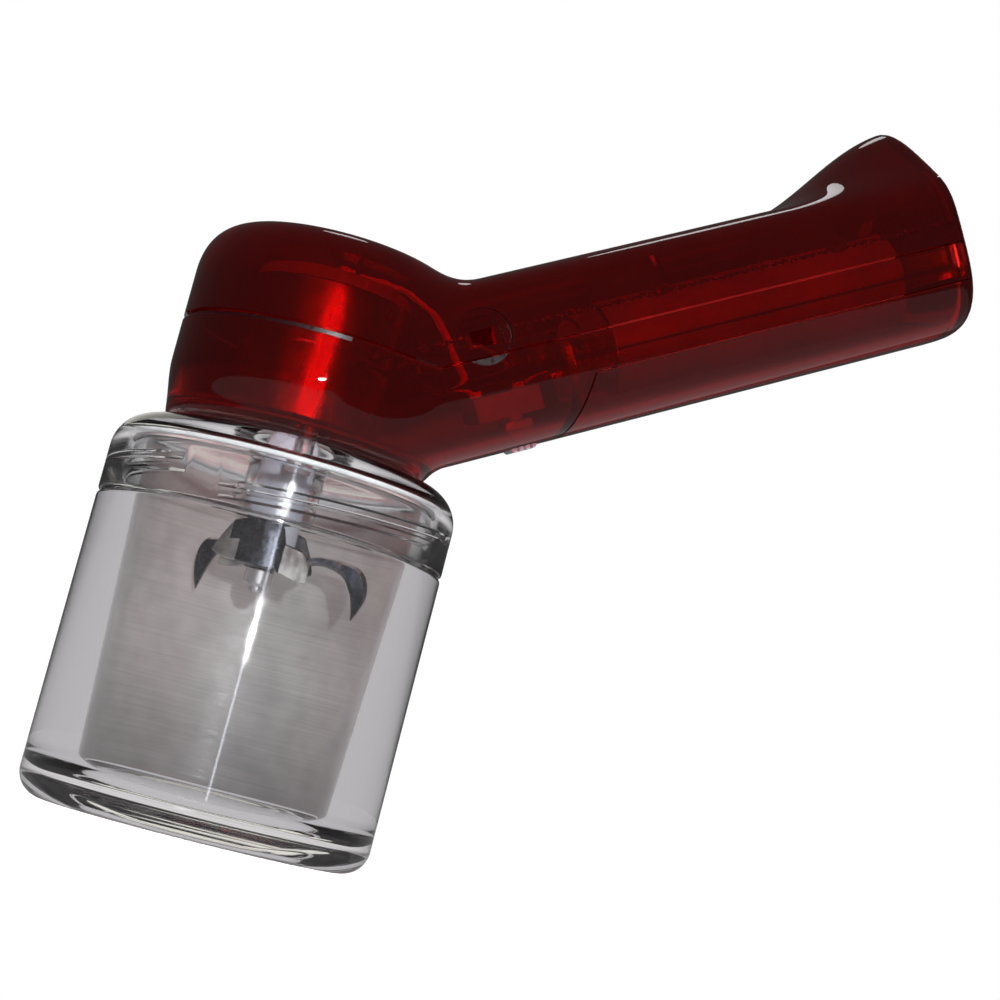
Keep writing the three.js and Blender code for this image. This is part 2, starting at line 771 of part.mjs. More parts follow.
function switchKnob() {
  const from = KNOB_START;
  const to = KNOB_START + KNOB_LENGTH;
  const low = HANDLE_SEAM - HANDLE_DOWN - 0.5;
  let made = solid(box([from, to], [-2.1, 2.1], [low, -10]));
  made = made.add(solid(box([from + 1.2, to - 1.2], [-1.1, 1.1], [-10.5, -7.4])));
  for (let i = 0; i < 3; i += 1) {
    const groove = from + 0.9 + i * 1.1;
    made = made.subtract(solid(box([groove, groove + 0.4], [-3, 3], [low - 1, low + 0.4])));
  }
  return piece("switch_knob", "grey_plastic", geometryOf(made));
}

// ---------------------------------------------------------------- cells and contacts, in the handle's frame
// A cell along X: a can with its positive nub at one end.
function cell(name, y, nubFirst) {
  const length = CELL_BODY + CELL_NUB;
  const outline = [
    [0, 0],
    [CELL_R, 0],
    [CELL_R, CELL_BODY],
    [CELL_NUB_R, CELL_BODY],
    [CELL_NUB_R, length],
    [0, length],
  ];
  const made = turned(outline, 24).rotateY(nubFirst ? -Math.PI / 2 : Math.PI / 2);
  const battery = piece(name, "cell_jacket", closed(made));
  battery.position.set(CELL_START + (nubFirst ? length : 0), y, CELL_T);
  return battery;
}

function coilSpring(from, to, radius, turns) {
  class Helix extends THREE.Curve {
    getPoint(u, target = new THREE.Vector3()) {
      const angle = 2 * Math.PI * turns * u;
      const reach = radius * (1 - 0.35 * u);
      return target.set(from + (to - from) * u, reach * Math.cos(angle), reach * Math.sin(angle));
    }
  }
  return wire(new Helix(), 0.35, Math.round(turns * 10), 5);
}

// A strip folded into a raised contact, seen from above and given its height in Z.
function hatContact(base, tip, height) {
  const thick = 0.4 * Math.sign(tip - base);
  const skin = Math.abs(thick);
  const half = 2.4;
  const flange = 4.4;
  const outline = [
    [base, -flange],
    [base, -half],
    [tip, -half],
    [tip, half],
    [base, half],
    [base, flange],
    [base - thick, flange],
    [base - thick, half - skin],
    [tip - thick, half - skin],
    [tip - thick, skin - half],
    [base - thick, skin - half],
    [base - thick, -flange],
  ];
  return slab(outline, height).rotateX(-Math.PI / 2);
}

function frontContacts() {
  const coil = coilSpring(BULKHEAD_TO + 1.05, CELL_START - 0.5, SPRING_R, 3.5);
  const spring = piece("battery_spring", "spring_steel", coil);
  spring.position.set(0, -CELL_Y, CELL_T);
  const plate = box([BULKHEAD_TO + 0.2, BULKHEAD_TO + 0.6], [-3.6, 3.6], [-2.9, 2.4]);
  const pad = piece("spring_plate", "spring_steel", plate);
  pad.position.set(0, -CELL_Y, CELL_T);
  const folded = hatContact(BULKHEAD_TO + 0.7, CELL_START - 0.3, CONTACT_HEIGHT);
  const hat = piece("battery_contact", "spring_steel", folded);
  hat.position.set(0, CELL_Y, CELL_T);
  return [spring, pad, hat];
}

function doorContacts() {
  const wall = HANDLE_END - DOOR_WALL;
  const tip = CELL_START + CELL_BODY + CELL_NUB + 0.3;
  const plate = solid(box([wall - 0.7, wall - 0.3], [-CELL_Y, CELL_Y + 3.6], [CELL_T - 2.3, CELL_T + 2.3]));
  const hat = solid(hatContact(wall - 0.7, tip, CONTACT_HEIGHT).translate(0, -CELL_Y, CELL_T));
  const link = piece("door_link_plate", "spring_steel", geometryOf(plate.add(hat)));
  const spring = piece("door_spring", "spring_steel", coilSpring(wall - 1.1, tip + 0.1, SPRING_R, 5));
  spring.position.set(0, CELL_Y, CELL_T);
  return [link, spring];
}

// ---------------------------------------------------------------- wires, in the part's frame
function lead(name, look, stops) {
  const curve = new THREE.CatmullRomCurve3(stops.map((stop) => new THREE.Vector3(...stop)));
  return piece(name, look, wire(curve, 0.6, 16));
}

function inPart(s, y, t) {
  const [x, z] = handlePoint(s, t);
  return [x, y, z];
}

function leads() {
  const top = MOTOR_CAN_TOP;
  return [
    lead("lead_motor_to_switch", "wire_red", [
      [1.9, -TERMINAL_Y, top + 3.9],
      [8, -TERMINAL_Y - 0.4, top + 3.9],
      [13, -6, top + 2.4],
      inPart(22, -5, 6),
      inPart(24, -2.5, 0),
      inPart(25.2, -1.2, -3.4),
    ]),
    lead("lead_switch_to_spring", "wire_red", [
      inPart(34.4, 0, -3.8),
      inPart(35.2, -4, -2),
      inPart(35.4, -CELL_Y, -2.2),
    ]),
    lead("lead_motor_to_contact", "wire_black", [
      [1.9, TERMINAL_Y, top + 3.9],
      [8, TERMINAL_Y + 0.4, top + 3.9],
      [13, 6.6, top + 2.4],
      inPart(22, 8, 6),
      inPart(32, 8.5, 3),
      inPart(35.2, CELL_Y, -1.5),
    ]),
  ];
}

// ---------------------------------------------------------------- assembly
const jarAndLid = new THREE.Group();
jarAndLid.add(jar(), jarSeal(), clearLid());

const shells = new THREE.Group();
shells.add(upperHousing(), lowerHousing(), batteryDoor());

const motor = new THREE.Group();
motor.add(motorCan(), ...magnets(), motorEndCap(), ...bearings());
motor.add(...brushesAndTerminals(), ...motorScrews());

const rotor = new THREE.Group();
rotor.add(motorShaft(), armatureCore(), ...armatureCoils(), commutator());
rotor.add(shaftSleeve(), bladeShank(), clawBlade(), wingBlade(), bladeNut());
rotor.rotation.z = radians(-20);

const handle = new THREE.Group();
handle.position.set(0, 0, HANDLE_PIVOT);
handle.rotation.y = -radians(HANDLE_ANGLE);
handle.add(switchBody(), ...switchTerminals(), switchKnob());
handle.add(cell("battery_front", -CELL_Y, false), cell("battery_rear", CELL_Y, true));
handle.add(...frontContacts(), ...doorContacts());

const grinder = new THREE.Group();
grinder.add(jarAndLid, shells, motor, rotor, handle, ...leads());

export default grinder;
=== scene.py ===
"""Looks for the hand-held herb grinder: its red housings, clear jar and lid, blades and materials, built
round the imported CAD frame. Sizes are in millimetres, in the frame's own axes, and are turned into metres
when a mesh is made. Lamps and the camera are placed in metres."""

import json
import math

import bpy
import numpy as np
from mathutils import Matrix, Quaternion, Vector

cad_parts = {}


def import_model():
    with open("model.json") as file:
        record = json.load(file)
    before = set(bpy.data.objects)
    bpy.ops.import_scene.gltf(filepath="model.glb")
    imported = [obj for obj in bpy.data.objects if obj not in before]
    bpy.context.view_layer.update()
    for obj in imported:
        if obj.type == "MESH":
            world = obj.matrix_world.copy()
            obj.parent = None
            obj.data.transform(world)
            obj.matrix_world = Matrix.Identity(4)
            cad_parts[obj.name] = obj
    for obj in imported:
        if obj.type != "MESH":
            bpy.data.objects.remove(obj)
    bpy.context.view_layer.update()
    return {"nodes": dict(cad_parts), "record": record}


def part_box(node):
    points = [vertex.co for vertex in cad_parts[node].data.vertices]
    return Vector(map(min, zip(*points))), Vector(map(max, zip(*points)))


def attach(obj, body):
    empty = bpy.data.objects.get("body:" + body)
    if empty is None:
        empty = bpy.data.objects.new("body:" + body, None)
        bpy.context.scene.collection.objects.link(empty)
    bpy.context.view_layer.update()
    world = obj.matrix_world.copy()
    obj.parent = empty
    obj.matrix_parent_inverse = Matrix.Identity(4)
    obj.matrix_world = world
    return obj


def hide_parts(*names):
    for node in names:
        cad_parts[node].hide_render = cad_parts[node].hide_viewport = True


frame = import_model()

MM = 0.001


def box_mm(node):
    """A CAD node's lowest and highest corners, in millimetres."""
    low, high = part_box(node)
    return Vector(low) / MM, Vector(high) / MM


# ------------ sizes taken from the frame
JAR_R = box_mm("jar")[1].x
NECK_TOP = box_mm("jar")[1].z
LID_FOOT, LID_TOP = box_mm("clear_lid")[0].z, box_mm("clear_lid")[1].z
HEAD_FOOT = box_mm("lower_housing")[0].z
HEAD_TOP = 89.8

# ------------ sizes of the looks
JAR_SHOULDER = LID_FOOT - 0.3
JAR_CORNER = 4.0
JAR_FLOOR = 4.2
CAVITY_R = 20.8
CAVITY_FOOT_R = 18.6
CAVITY_CORNER = 3.8
NECK_R = 22.6
THREAD_STARTS = 3
THREAD_PITCH = 2.9
THREAD_FOOT = 46.9
THREAD_ARC = 105.0
JAR_CREST_R = 23.3
LID_CREST_R = 23.0
LID_PLATE = 3.0
LID_SHOULDER = 5.6
LID_BORE_R = 23.65
TUBE_R = 5.7
TUBE_BORE_R = 4.3
TUBE_FOOT = 46.2

HEAD_R = 20.7
HEAD_TAPER = 1.1
HEAD_TAPER_HEIGHT = 9.0
HEAD_ROUNDING = 7.7
CROWN_CURVE = 0.0042
HEAD_SEAM = 73.4
HEAD_FLOOR = 2.0
FOOT_ROUNDING = 1.6
WALL = 1.8
LIP = 0.7
LIP_BELOW_SEAM = (2.6, 4.0)
GAP = 0.15
DOOR_GAP = 0.2
GROOVE_DEPTH = 0.75
GROOVE_HEIGHT = 0.8
GROOVE_ENDS = (80, 280)

HANDLE_ANGLE = math.radians(30)
HANDLE_PIVOT = 64.7
HANDLE_START = 2.0
HANDLE_END = 104.8
HANDLE_HALF_WIDTH = 17.7
HANDLE_UP = 12.2
HANDLE_DOWN = 13.75
HANDLE_SEAM = 0.1
HANDLE_ROUNDING = 2.2
UPPER_SQUARENESS = 4.5
LOWER_SQUARENESS = 3
END_CURVE = 0.0012
NECK_BLEND = 3.0
SEAM_TURN = 16
HUMP_START = 78.0
HUMP_HEIGHT = 8.7
DOOR_START = 40.2
DOOR_EDGE = -5.9
DOOR_WALL = 1.5
DOOR_WALL_TOP = 10.8
BOSS_S = 24.7
BOSS_T = 3.0
BOSS_R = 4.25
BOSS_STEP = 1.1
BOSS_DEPTHS = (0.9, 1.25)
WINDOW_HALF_LENGTH = 1.85
WINDOW_HALF_HEIGHT = 1.25
RIBS = (54.0, 84.0)
RIB_THICK = 1.2
BULKHEAD = (36.2, 37.7)
SLOT = (26.5, 33.9)
SLOT_HALF_WIDTH = 2.4
KNOB = (28.9, 33.2)
KNOB_HALF_WIDTH = 2.1
CELL_START = 44.2
CELL_LENGTH = 49.2
CELL_NUB = 1.0
CELL_Y = 7.5
CELL_T = -2.4
SPRING_R = 2.75
SPRING_WIRE_R = 0.35
SPRING_COILS = 4.5
FRONT_SPRING = (38.75, 43.75)
CELL_R = box_mm("battery_front")[1].y + CELL_Y
MOTOR_R = 11.9
MOTOR_FOOT = 60.2
MOTOR_TOP = 82.4

COS, SIN = math.cos(HANDLE_ANGLE), math.sin(HANDLE_ANGLE)


def in_part(s, y, t):
    """A point of the handle's frame (s along it, t up from its centreline) in the part's frame."""
    return (s * COS - t * SIN, y, HANDLE_PIVOT + s * SIN + t * COS)


def arc(centre, radius, start, end, steps):
    """Points on an arc of a profile, angles in degrees."""
    angles = np.radians(np.linspace(start, end, steps + 1))
    return [(centre[0] + radius * math.cos(a), centre[1] + radius * math.sin(a)) for a in angles]


# ------------ mesh helpers
def add_mesh(name, points, faces, materials, smooth_angle=32):
    """A mesh object from points in millimetres, smooth except at edges sharper than smooth_angle."""
    mesh = bpy.data.meshes.new(name)
    mesh.from_pydata((np.asarray(points, float) * MM).tolist(), [], [list(map(int, f)) for f in faces])
    mesh.validate()
    finish_shading(mesh, smooth_angle)
    obj = bpy.data.objects.new(name, mesh)
    bpy.context.scene.collection.objects.link(obj)
    for material in materials if isinstance(materials, list) else [materials]:
        mesh.materials.append(material)
    return obj


def finish_shading(mesh, smooth_angle):
    mesh.shade_smooth()
    mesh.set_sharp_from_angle(angle=math.radians(smooth_angle))
    mesh.update()


def stand_for(obj, body, slot, *nodes):
    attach(obj, body)
    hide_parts(*nodes)
    return obj


def lathe(profile, segments=128, closed=False):
    """Points and faces of a profile of (radius, height) turned about Z. One on the axis stays one point."""
    points, rings = [], []
    for radius, height in profile:
        if radius < 1e-6:
            rings.append([len(points)])
            points.append((0.0, 0.0, height))
            continue
        rings.append(list(range(len(points), len(points) + segments)))
        for i in range(segments):
            a = 2 * math.pi * i / segments
            points.append((radius * math.cos(a), radius * math.sin(a), height))
    pairs = list(zip(rings[:-1], rings[1:]))
    if closed:
        pairs.append((rings[-1], rings[0]))
    faces = []
    for low, high in pairs:
        for i in range(segments):
            j = (i + 1) % segments
            if len(low) == 1:
                faces.append((low[0], high[j], high[i]))
            elif len(high) == 1:
                faces.append((low[i], low[j], high[0]))
            else:
                faces.append((low[i], low[j], high[j], high[i]))
    return points, outward(points, faces)


def turned_solid(rim, segments):
    """A solid turned about Z from its rim, closed to the axis at both ends."""
    return lathe([(0, rim[0][1]), *rim, (0, rim[-1][1])], segments)


def outward(points, faces):
    """The faces, turned round if they enclose a negative volume."""
    p = np.asarray(points, float)
    volume = 0.0
    for f in faces:
        for k in range(1, len(f) - 1):
            volume += np.dot(p[f[0]], np.cross(p[f[k]], p[f[k + 1]]))
    return [tuple(reversed(f)) for f in faces] if volume < 0 else faces


def loft(rings):
    """A closed skin through rings of points that all have the same count."""
    count = len(rings[0])
    points = [p for ring in rings for p in ring]
    faces = []
    for i in range(len(rings) - 1):
        for j in range(count):
            k = (j + 1) % count
            faces.append((i * count + j, i * count + k, (i + 1) * count + k, (i + 1) * count + j))
    faces.append(tuple(reversed(range(count))))
    faces.append(tuple(range((len(rings) - 1) * count, len(rings) * count)))
    return points, outward(points, faces)


def block(low, high, tilted=False):
    """A box between two corners, in the handle's frame when tilted."""
    ends = list(zip(low, high))
    corners = [(x, y, z) for x in ends[0] for y in ends[1] for z in ends[2]]
    if tilted:
        corners = [in_part(*c) for c in corners]
    faces = [(0, 1, 3, 2), (4, 6, 7, 5), (0, 4, 5, 1), (2, 3, 7, 6), (0, 2, 6, 4), (1, 5, 7, 3)]
    return corners, outward(corners, faces)


def prism(outline, half_width, tilted=False):
    """An outline of (x, z) points, or (s, t) points when tilted, extruded to both sides of Y = 0."""
    rings = []
    for y in (-half_width, half_width):
        rings.append([in_part(a, y, b) if tilted else (a, y, b) for a, b in outline])
    return loft(rings)


def cross_rod(radius, s, t, y_low, y_high, segments=64):
    """A cylinder across the handle."""
    rings = []
    for y in (y_low, y_high):
        angles = [2 * math.pi * i / segments for i in range(segments)]
        rings.append([in_part(s + radius * math.cos(a), y, t + radius * math.sin(a)) for a in angles])
    return loft(rings)


def combine(obj, operation, other):
    """Adds another object's solid to obj, cuts obj by it or keeps what they share. The other one goes."""
    if not (is_closed(obj.data) and is_closed(other.data)):
        raise RuntimeError(obj.name + " or what it is combined with is not closed")
    modifier = obj.modifiers.new("combine", "BOOLEAN")
    modifier.operation = operation
    modifier.solver = "MANIFOLD"
    modifier.object = other
    apply_modifiers(obj)
    bpy.data.objects.remove(other)


def combined(obj, operation, *shapes):
    """Combines obj with shapes, each given as points and faces."""
    for shape in shapes:
        combine(obj, operation, add_mesh("cutter", *shape, []))
    return obj


def is_closed(mesh):
    """Whether no edge is open, which the solver needs."""
    edges = np.empty(len(mesh.loops), np.int32)
    mesh.loops.foreach_get("edge_index", edges)
    return not (np.bincount(edges) % 2).any()


def apply_modifiers(obj):
    graph = bpy.context.evaluated_depsgraph_get()
    made = bpy.data.meshes.new_from_object(obj.evaluated_get(graph))
    obj.modifiers.clear()
    old = obj.data
    obj.data = made
    bpy.data.meshes.remove(old)


def copy_of(obj, name):
    twin = obj.copy()
    twin.data = obj.data.copy()
    twin.name = name
    twin.data.name = name
    bpy.context.scene.collection.objects.link(twin)
    return twin


# ------------ material helpers
def set_range(node, start, end, low, high):
    """Makes a map range node take start to end onto low to high."""
    for socket, value in zip(("From Min", "From Max", "To Min", "To Max"), (start, end, low, high)):
        node.inputs[socket].default_value = value


class Look:
    """A node material that starts from one Principled shader."""

    def __init__(self, name, color, roughness, metallic=0.0, **sockets):
        self.material = bpy.data.materials.new(name)
        self.material.use_nodes = True
        self.tree = self.material.node_tree
        self.shader = self.tree.nodes["Principled BSDF"]
        self.output = self.tree.nodes["Material Output"]
        self.set("Base Color", (*color, 1.0))
        self.set("Roughness", roughness)
        self.set("Metallic", metallic)
        for key, value in sockets.items():
            self.set(key.replace("_", " "), value)

    def set(self, socket, value):
        self.shader.inputs[socket].default_value = value

    def node(self, kind, **settings):
        made = self.tree.nodes.new("ShaderNode" + kind)
        for key, value in settings.items():
            if hasattr(made, key):
                setattr(made, key, value)
            else:
                made.inputs[key].default_value = value
        return made

    def link(self, source, target):
        self.tree.links.new(source, target)

    def place(self, scale=(1, 1, 1)):
        """Object coordinates in millimetres, stretched by scale."""
        coordinates = self.node("TexCoord")
        mapping = self.node("Mapping")
        mapping.inputs["Scale"].default_value = [v / MM for v in scale]
        self.link(coordinates.outputs["Object"], mapping.inputs["Vector"])
        return mapping.outputs["Vector"]

    def noise(self, size, detail=3.0, stretch=(1, 1, 1)):
        """Noise whose features are about size millimetres across, stretched along the axes."""
        made = self.node("TexNoise", Scale=1.0, Detail=detail)
        self.link(self.place([1 / (size * s) for s in stretch]), made.inputs["Vector"])
        return made.outputs["Fac"]

    def spread(self, source, low, high, start=0.35, end=0.65):
        """Maps a noise's middle range onto low to high."""
        made = self.node("MapRange")
        set_range(made, start, end, low, high)
        self.link(source, made.inputs["Value"])
        return made.outputs["Result"]

    def tint(self, source, dark, light):
        """A colour that goes from dark to light with source."""
        mix, colors, result = self.color_mix()
        colors[0].default_value = (*dark, 1)
        colors[1].default_value = (*light, 1)
        self.link(source, mix.inputs["Factor"])
        self.link(result, self.shader.inputs["Base Color"])
        return result

    def color_mix(self):
        """A mix of two colours, with its two colour inputs and its colour output."""
        mix = self.node("Mix", data_type="RGBA")
        colors = [socket for socket in mix.inputs if socket.type == "RGBA"]
        return mix, colors, [socket for socket in mix.outputs if socket.type == "RGBA"][0]

    def bump(self, source, height, strength=1.0):
        """Bump of a height in millimetres."""
        made = self.node("Bump", Strength=strength, Distance=height * MM)
        self.link(source, made.inputs["Height"])
        self.link(made.outputs["Normal"], self.shader.inputs["Normal"])

    def let_lamps_through(self, color, shader=None):
        """Rays from lamps pass straight through, tinted, so that what is inside is lit."""
        path = self.node("LightPath")
        clear = self.node("BsdfTransparent", Color=(*color, 1))
        seen = shader or self.shader.outputs["BSDF"]
        mix = self.mixed(path.outputs["Is Shadow Ray"], seen, clear.outputs["BSDF"])
        self.link(mix, self.output.inputs["Surface"])

    def mixed(self, factor, first, second):
        """A shader that goes from first to second with factor."""
        mix = self.node("MixShader")
        for place, source in enumerate((factor, first, second)):
            self.link(source, mix.inputs[place])
        return mix.outputs["Shader"]


def red_plastic():
    look = Look("red_plastic", (0.24, 0.003, 0.006), 0.02, IOR=1.5, Transmission_Weight=0.96)
    look.link(look.spread(look.noise(9, 4), 0.008, 0.03), look.shader.inputs["Roughness"])
    look.tint(look.noise(14, 2), (0.22, 0.0015, 0.002), (0.3, 0.003, 0.004))
    look.bump(look.noise(9, 2), 0.03, 0.1)
    look.let_lamps_through((0.85, 0.14, 0.1))
    return look.material


def clear_plastic():
    look = Look("clear_plastic", (0.93, 0.935, 0.94), 0.03, IOR=1.49, Transmission_Weight=1.0)
    look.link(look.spread(look.noise(5, 5), 0.015, 0.07), look.shader.inputs["Roughness"])
    look.bump(look.noise(6, 2), 0.03, 0.2)
    look.let_lamps_through((0.92, 0.92, 0.92))
    return look.material


def scratched_wall():
    """The jar's inner wall. From inside the plastic it is clear, or a clean mirror at flat angles, with a
    streak of light across its fine scratches. Its far side, seen across the cavity, is grey with dust,
    with painted shade that darkens it towards the cavity's floor."""
    look = Look("scratched_wall", (0.3, 0.3, 0.3), 0.4, IOR=1.3, Transmission_Weight=0.45)
    rings = look.noise(1.0, 6, (30, 30, 0.16))
    dust = look.noise(5.0, 8, (1, 1, 0.8))
    both = look.node("Math", operation="ADD")
    look.link(rings, both.inputs[0])
    look.link(dust, both.inputs[1])
    mottling = look.spread(both.outputs[0], 0, 1, 0.75, 1.3)
    grey = look.tint(mottling, (0.27, 0.265, 0.258), (0.41, 0.40, 0.39))
    # painted shade: the grey is darkened towards the cavity's floor, from full at 24 mm height to 0.3 at 4
    # mm
    height = look.node("SeparateXYZ")
    look.link(look.place(), height.inputs[0])
    low = look.spread(height.outputs["Z"], 0.3, 1.0, 4, 24)
    grey_with_painted_shade = look.node("VectorMath", operation="SCALE")
    look.link(grey, grey_with_painted_shade.inputs[0])
    look.link(low, grey_with_painted_shade.inputs["Scale"])
    look.link(grey_with_painted_shade.outputs["Vector"], look.shader.inputs["Base Color"])
    look.link(look.spread(rings, 0.3, 0.5), look.shader.inputs["Roughness"])
    round_z = look.node("Tangent", direction_type="RADIAL", axis="Z")
    streak = look.node("BsdfAnisotropic", Roughness=0.22, Anisotropy=0.96, Color=(0.9, 0.92, 1.0, 1))
    look.link(round_z.outputs["Tangent"], streak.inputs["Tangent"])
    clear = look.node("BsdfGlass", Roughness=0.01, IOR=1.49, Color=(0.94, 0.94, 0.94, 1))
    facing = look.node("LayerWeight", Blend=0.5)
    fade = look.node("Math", operation="MULTIPLY")
    look.link(look.spread(facing.outputs["Facing"], 1, 0, 0.1, 0.25), fade.inputs[0])
    look.link(look.spread(rings, 0.03, 0.09), fade.inputs[1])
    near = look.mixed(fade.outputs[0], clear.outputs["BSDF"], streak.outputs["BSDF"])
    view = look.node("NewGeometry")
    wall = look.mixed(view.outputs["Backfacing"], look.shader.outputs["BSDF"], near)
    look.let_lamps_through((0.8, 0.8, 0.8), wall)
    return look.material


def metal(name, color, roughness, grain=1.2, stretch=(1, 1, 1), wear=0.12):
    """A metal with fine grain, and patches that are darker and duller."""
    look = Look(name, color, roughness, metallic=1.0)
    patches = look.noise(2.5, 5)
    worn = [c * (1 - wear) for c in color]
    bright = [min(1, c * (1 + wear)) for c in color]
    look.tint(look.spread(patches, 0, 1), worn, bright)
    lines = look.noise(grain, 4, stretch)
    look.link(look.spread(lines, roughness * 0.8, roughness * 1.25), look.shader.inputs["Roughness"])
    look.bump(lines, 0.01, 0.15)
    return look.material


def blade_metal():
    """Dark ground steel with faint mottling and a little rust."""
    look = Look("blade_steel", (0.1, 0.1, 0.11), 0.3, metallic=1.0)
    mottling = look.spread(look.noise(2.2, 5), 0, 1)
    steel = look.tint(mottling, (0.012, 0.013, 0.02), (0.06, 0.062, 0.072))
    rust, colors, result = look.color_mix()
    colors[1].default_value = (0.2, 0.06, 0.02, 1)
    look.link(steel, colors[0])
    look.link(look.spread(look.noise(2.3, 4), 0, 0.8, 0.68, 0.76), rust.inputs["Factor"])
    look.link(result, look.shader.inputs["Base Color"])
    look.link(look.spread(look.noise(0.8, 4), 0.18, 0.34), look.shader.inputs["Roughness"])
    look.bump(look.noise(0.8, 3, (1, 1, 3)), 0.02, 0.25)
    return look.material


def plastic(name, color, roughness, grain=0.4, depth=0.01):
    look = Look(name, color, roughness, IOR=1.5)
    fine = look.noise(grain, 4)
    dark = [c * 0.85 for c in color]
    light = [min(1, c * 1.1) for c in color]
    look.tint(look.spread(look.noise(6, 3), 0, 1), dark, light)
    rough = look.spread(fine, roughness * 0.8, min(1, roughness * 1.25))
    look.link(rough, look.shader.inputs["Roughness"])
    look.bump(fine, depth, 0.4)
    return look.material


def cell_jacket():
    """A plain dark sleeve with a faint sheen."""
    look = Look("cell_jacket", (0.2, 0.2, 0.21), 0.4, metallic=0.3)
    look.tint(look.spread(look.noise(12, 2), 0, 1), (0.17, 0.17, 0.18), (0.23, 0.23, 0.24))
    look.link(look.spread(look.noise(3, 2), 0.36, 0.44), look.shader.inputs["Roughness"])
    return look.material


def red_joint_and_painted_shade():
    """Moulded edges where the red shells meet: the same plastic, but matt and dark, so that they read as
    lines.
    The same dark look is painted shade on the groove under the seam and on the side recesses' rings.
    """
    look = Look("red_joint_and_painted_shade", (0.012, 0.0005, 0.001), 0.3, IOR=1.4, Transmission_Weight=0.2)
    look.link(look.spread(look.noise(0.8, 3), 0.25, 0.45), look.shader.inputs["Roughness"])
    look.let_lamps_through((0.5, 0.06, 0.05))
    return look.material


LOOKS = {
    "red_plastic": red_plastic(),
    # dark matt joints, also used as painted shade in the groove under the seam and the recess rings
    "red_joint_and_painted_shade": red_joint_and_painted_shade(),
    "clear_plastic": clear_plastic(),
    "scratched_wall": scratched_wall(),
    "blade_steel": blade_metal(),
    # brighter polished steel, which is also a painted highlight on the blades
    "blade_polish_and_painted_highlight": metal("blade_polish_and_painted_highlight", (0.62, 0.62, 0.6), 0.2, 0.8, (1, 1, 3), 0.3),
    "motor_steel": metal("motor_steel", (0.72, 0.72, 0.74), 0.24, 4, (1, 1, 4)),
    "spring_steel": metal("spring_steel", (0.8, 0.8, 0.8), 0.18, 0.3),
    "copper": metal("copper", (0.78, 0.4, 0.2), 0.3, 0.4),
    "bronze": metal("bronze", (0.55, 0.38, 0.18), 0.45, 0.3),
    "ferrite": plastic("ferrite", (0.06, 0.06, 0.065), 0.7),
    "grey_plastic": plastic("grey_plastic", (0.42, 0.44, 0.5), 0.35),
    "end_cap_plastic": plastic("end_cap_plastic", (0.2, 0.19, 0.18), 0.5),
    "silicone": plastic("silicone", (0.55, 0.56, 0.57), 0.55),
    "wire_red": plastic("wire_red", (0.5, 0.02, 0.02), 0.45),
    "wire_black": plastic("wire_black", (0.02, 0.02, 0.022), 0.45),
    "cell_jacket": cell_jacket(),
}


def paint_frame():
    """Every CAD node takes the look of its material slot."""
    for entry in frame["record"]["subparts"]:
        node = frame["nodes"][entry["node"]]
        node.data.materials.clear()
        node.data.materials.append(LOOKS[entry["material_slot"]])


# ------------ distance fields for the red shells
def smooth_min(a, b, k):
    h = np.clip(0.5 + 0.5 * (b - a) / k, 0, 1)
    return b * (1 - h) + a * h - k * h * (1 - h)


def smooth_max(a, b, k):
    return -smooth_min(-a, -b, k)


def smooth_step(v, low, high):
    u = np.clip((v - low) / (high - low), 0, 1)
    return u * u * (3 - 2 * u)


def hump_at(s):
    along = np.clip((s - HUMP_START) / (HANDLE_END - HUMP_START), 0, 1)
    return HUMP_HEIGHT * np.sin(np.pi / 2 * along) ** 1.6


def handle_axes(x, z):
    lift = z - HANDLE_PIVOT
    return x * COS + lift * SIN, -x * SIN + lift * COS


def head_field(x, y, z, inset):
    radius = np.hypot(x, y)
    taper = HEAD_TAPER * smooth_step(-z, -HEAD_FOOT - HEAD_TAPER_HEIGHT, -HEAD_FOOT)
    wall = HEAD_R - inset - taper
    crown = HEAD_TOP - inset - CROWN_CURVE * radius**2
    return smooth_max(radius - wall, z - crown, HEAD_ROUNDING)


def handle_field(x, y, z, inset, end):
    s, t = handle_axes(x, z)
    rise = t - HANDLE_SEAM
    across = np.abs(y) / (HANDLE_HALF_WIDTH - inset)
    hump = hump_at(s) * np.cos(np.pi / 2 * np.clip(across, 0, 1)) ** 2
    up = np.clip(rise, 0, None) / (HANDLE_UP - inset + hump)
    down = np.clip(-rise, 0, None) / (HANDLE_DOWN - inset)
    upper = (across**UPPER_SQUARENESS + up**UPPER_SQUARENESS) ** (1 / UPPER_SQUARENESS)
    lower = (across**LOWER_SQUARENESS + down**LOWER_SQUARENESS) ** (1 / LOWER_SQUARENESS)
    section = (np.where(rise > 0, upper, lower) - 1) * (HANDLE_UP - inset)
    dome = end - END_CURVE * (y**2 + (t - 3) ** 2)
    return smooth_max(smooth_max(section, s - dome, HANDLE_ROUNDING), HANDLE_START - s, 1.0)


def body_field(x, y, z, inset, end, floor):
    """The head and the handle run together, less than 0 inside."""
    head = head_field(x, y, z, inset)
    handle = handle_field(x, y, z, inset, end)
    return smooth_max(smooth_min(head, handle, NECK_BLEND), floor - z, FOOT_ROUNDING)


def shell_field(x, y, z):
    """The whole red shell before it is parted: less than 0 inside the plastic."""
    s, t = handle_axes(x, z)
    outside = body_field(x, y, z, 0, HANDLE_END, HEAD_FOOT)
    inside = body_field(x, y, z, WALL, HANDLE_END - DOOR_WALL, HEAD_FOOT + HEAD_FLOOR)
    below_seam = np.maximum(np.where(s < SEAM_TURN, HEAD_SEAM - z, HANDLE_SEAM - t), 0)
    lip = LIP * smooth_step(-below_seam, -LIP_BELOW_SEAM[1], -LIP_BELOW_SEAM[0])
    inside = inside + np.where(t > HANDLE_SEAM + 3.4, 0, lip)
    return smooth_max(outside, -inside, 0.6)


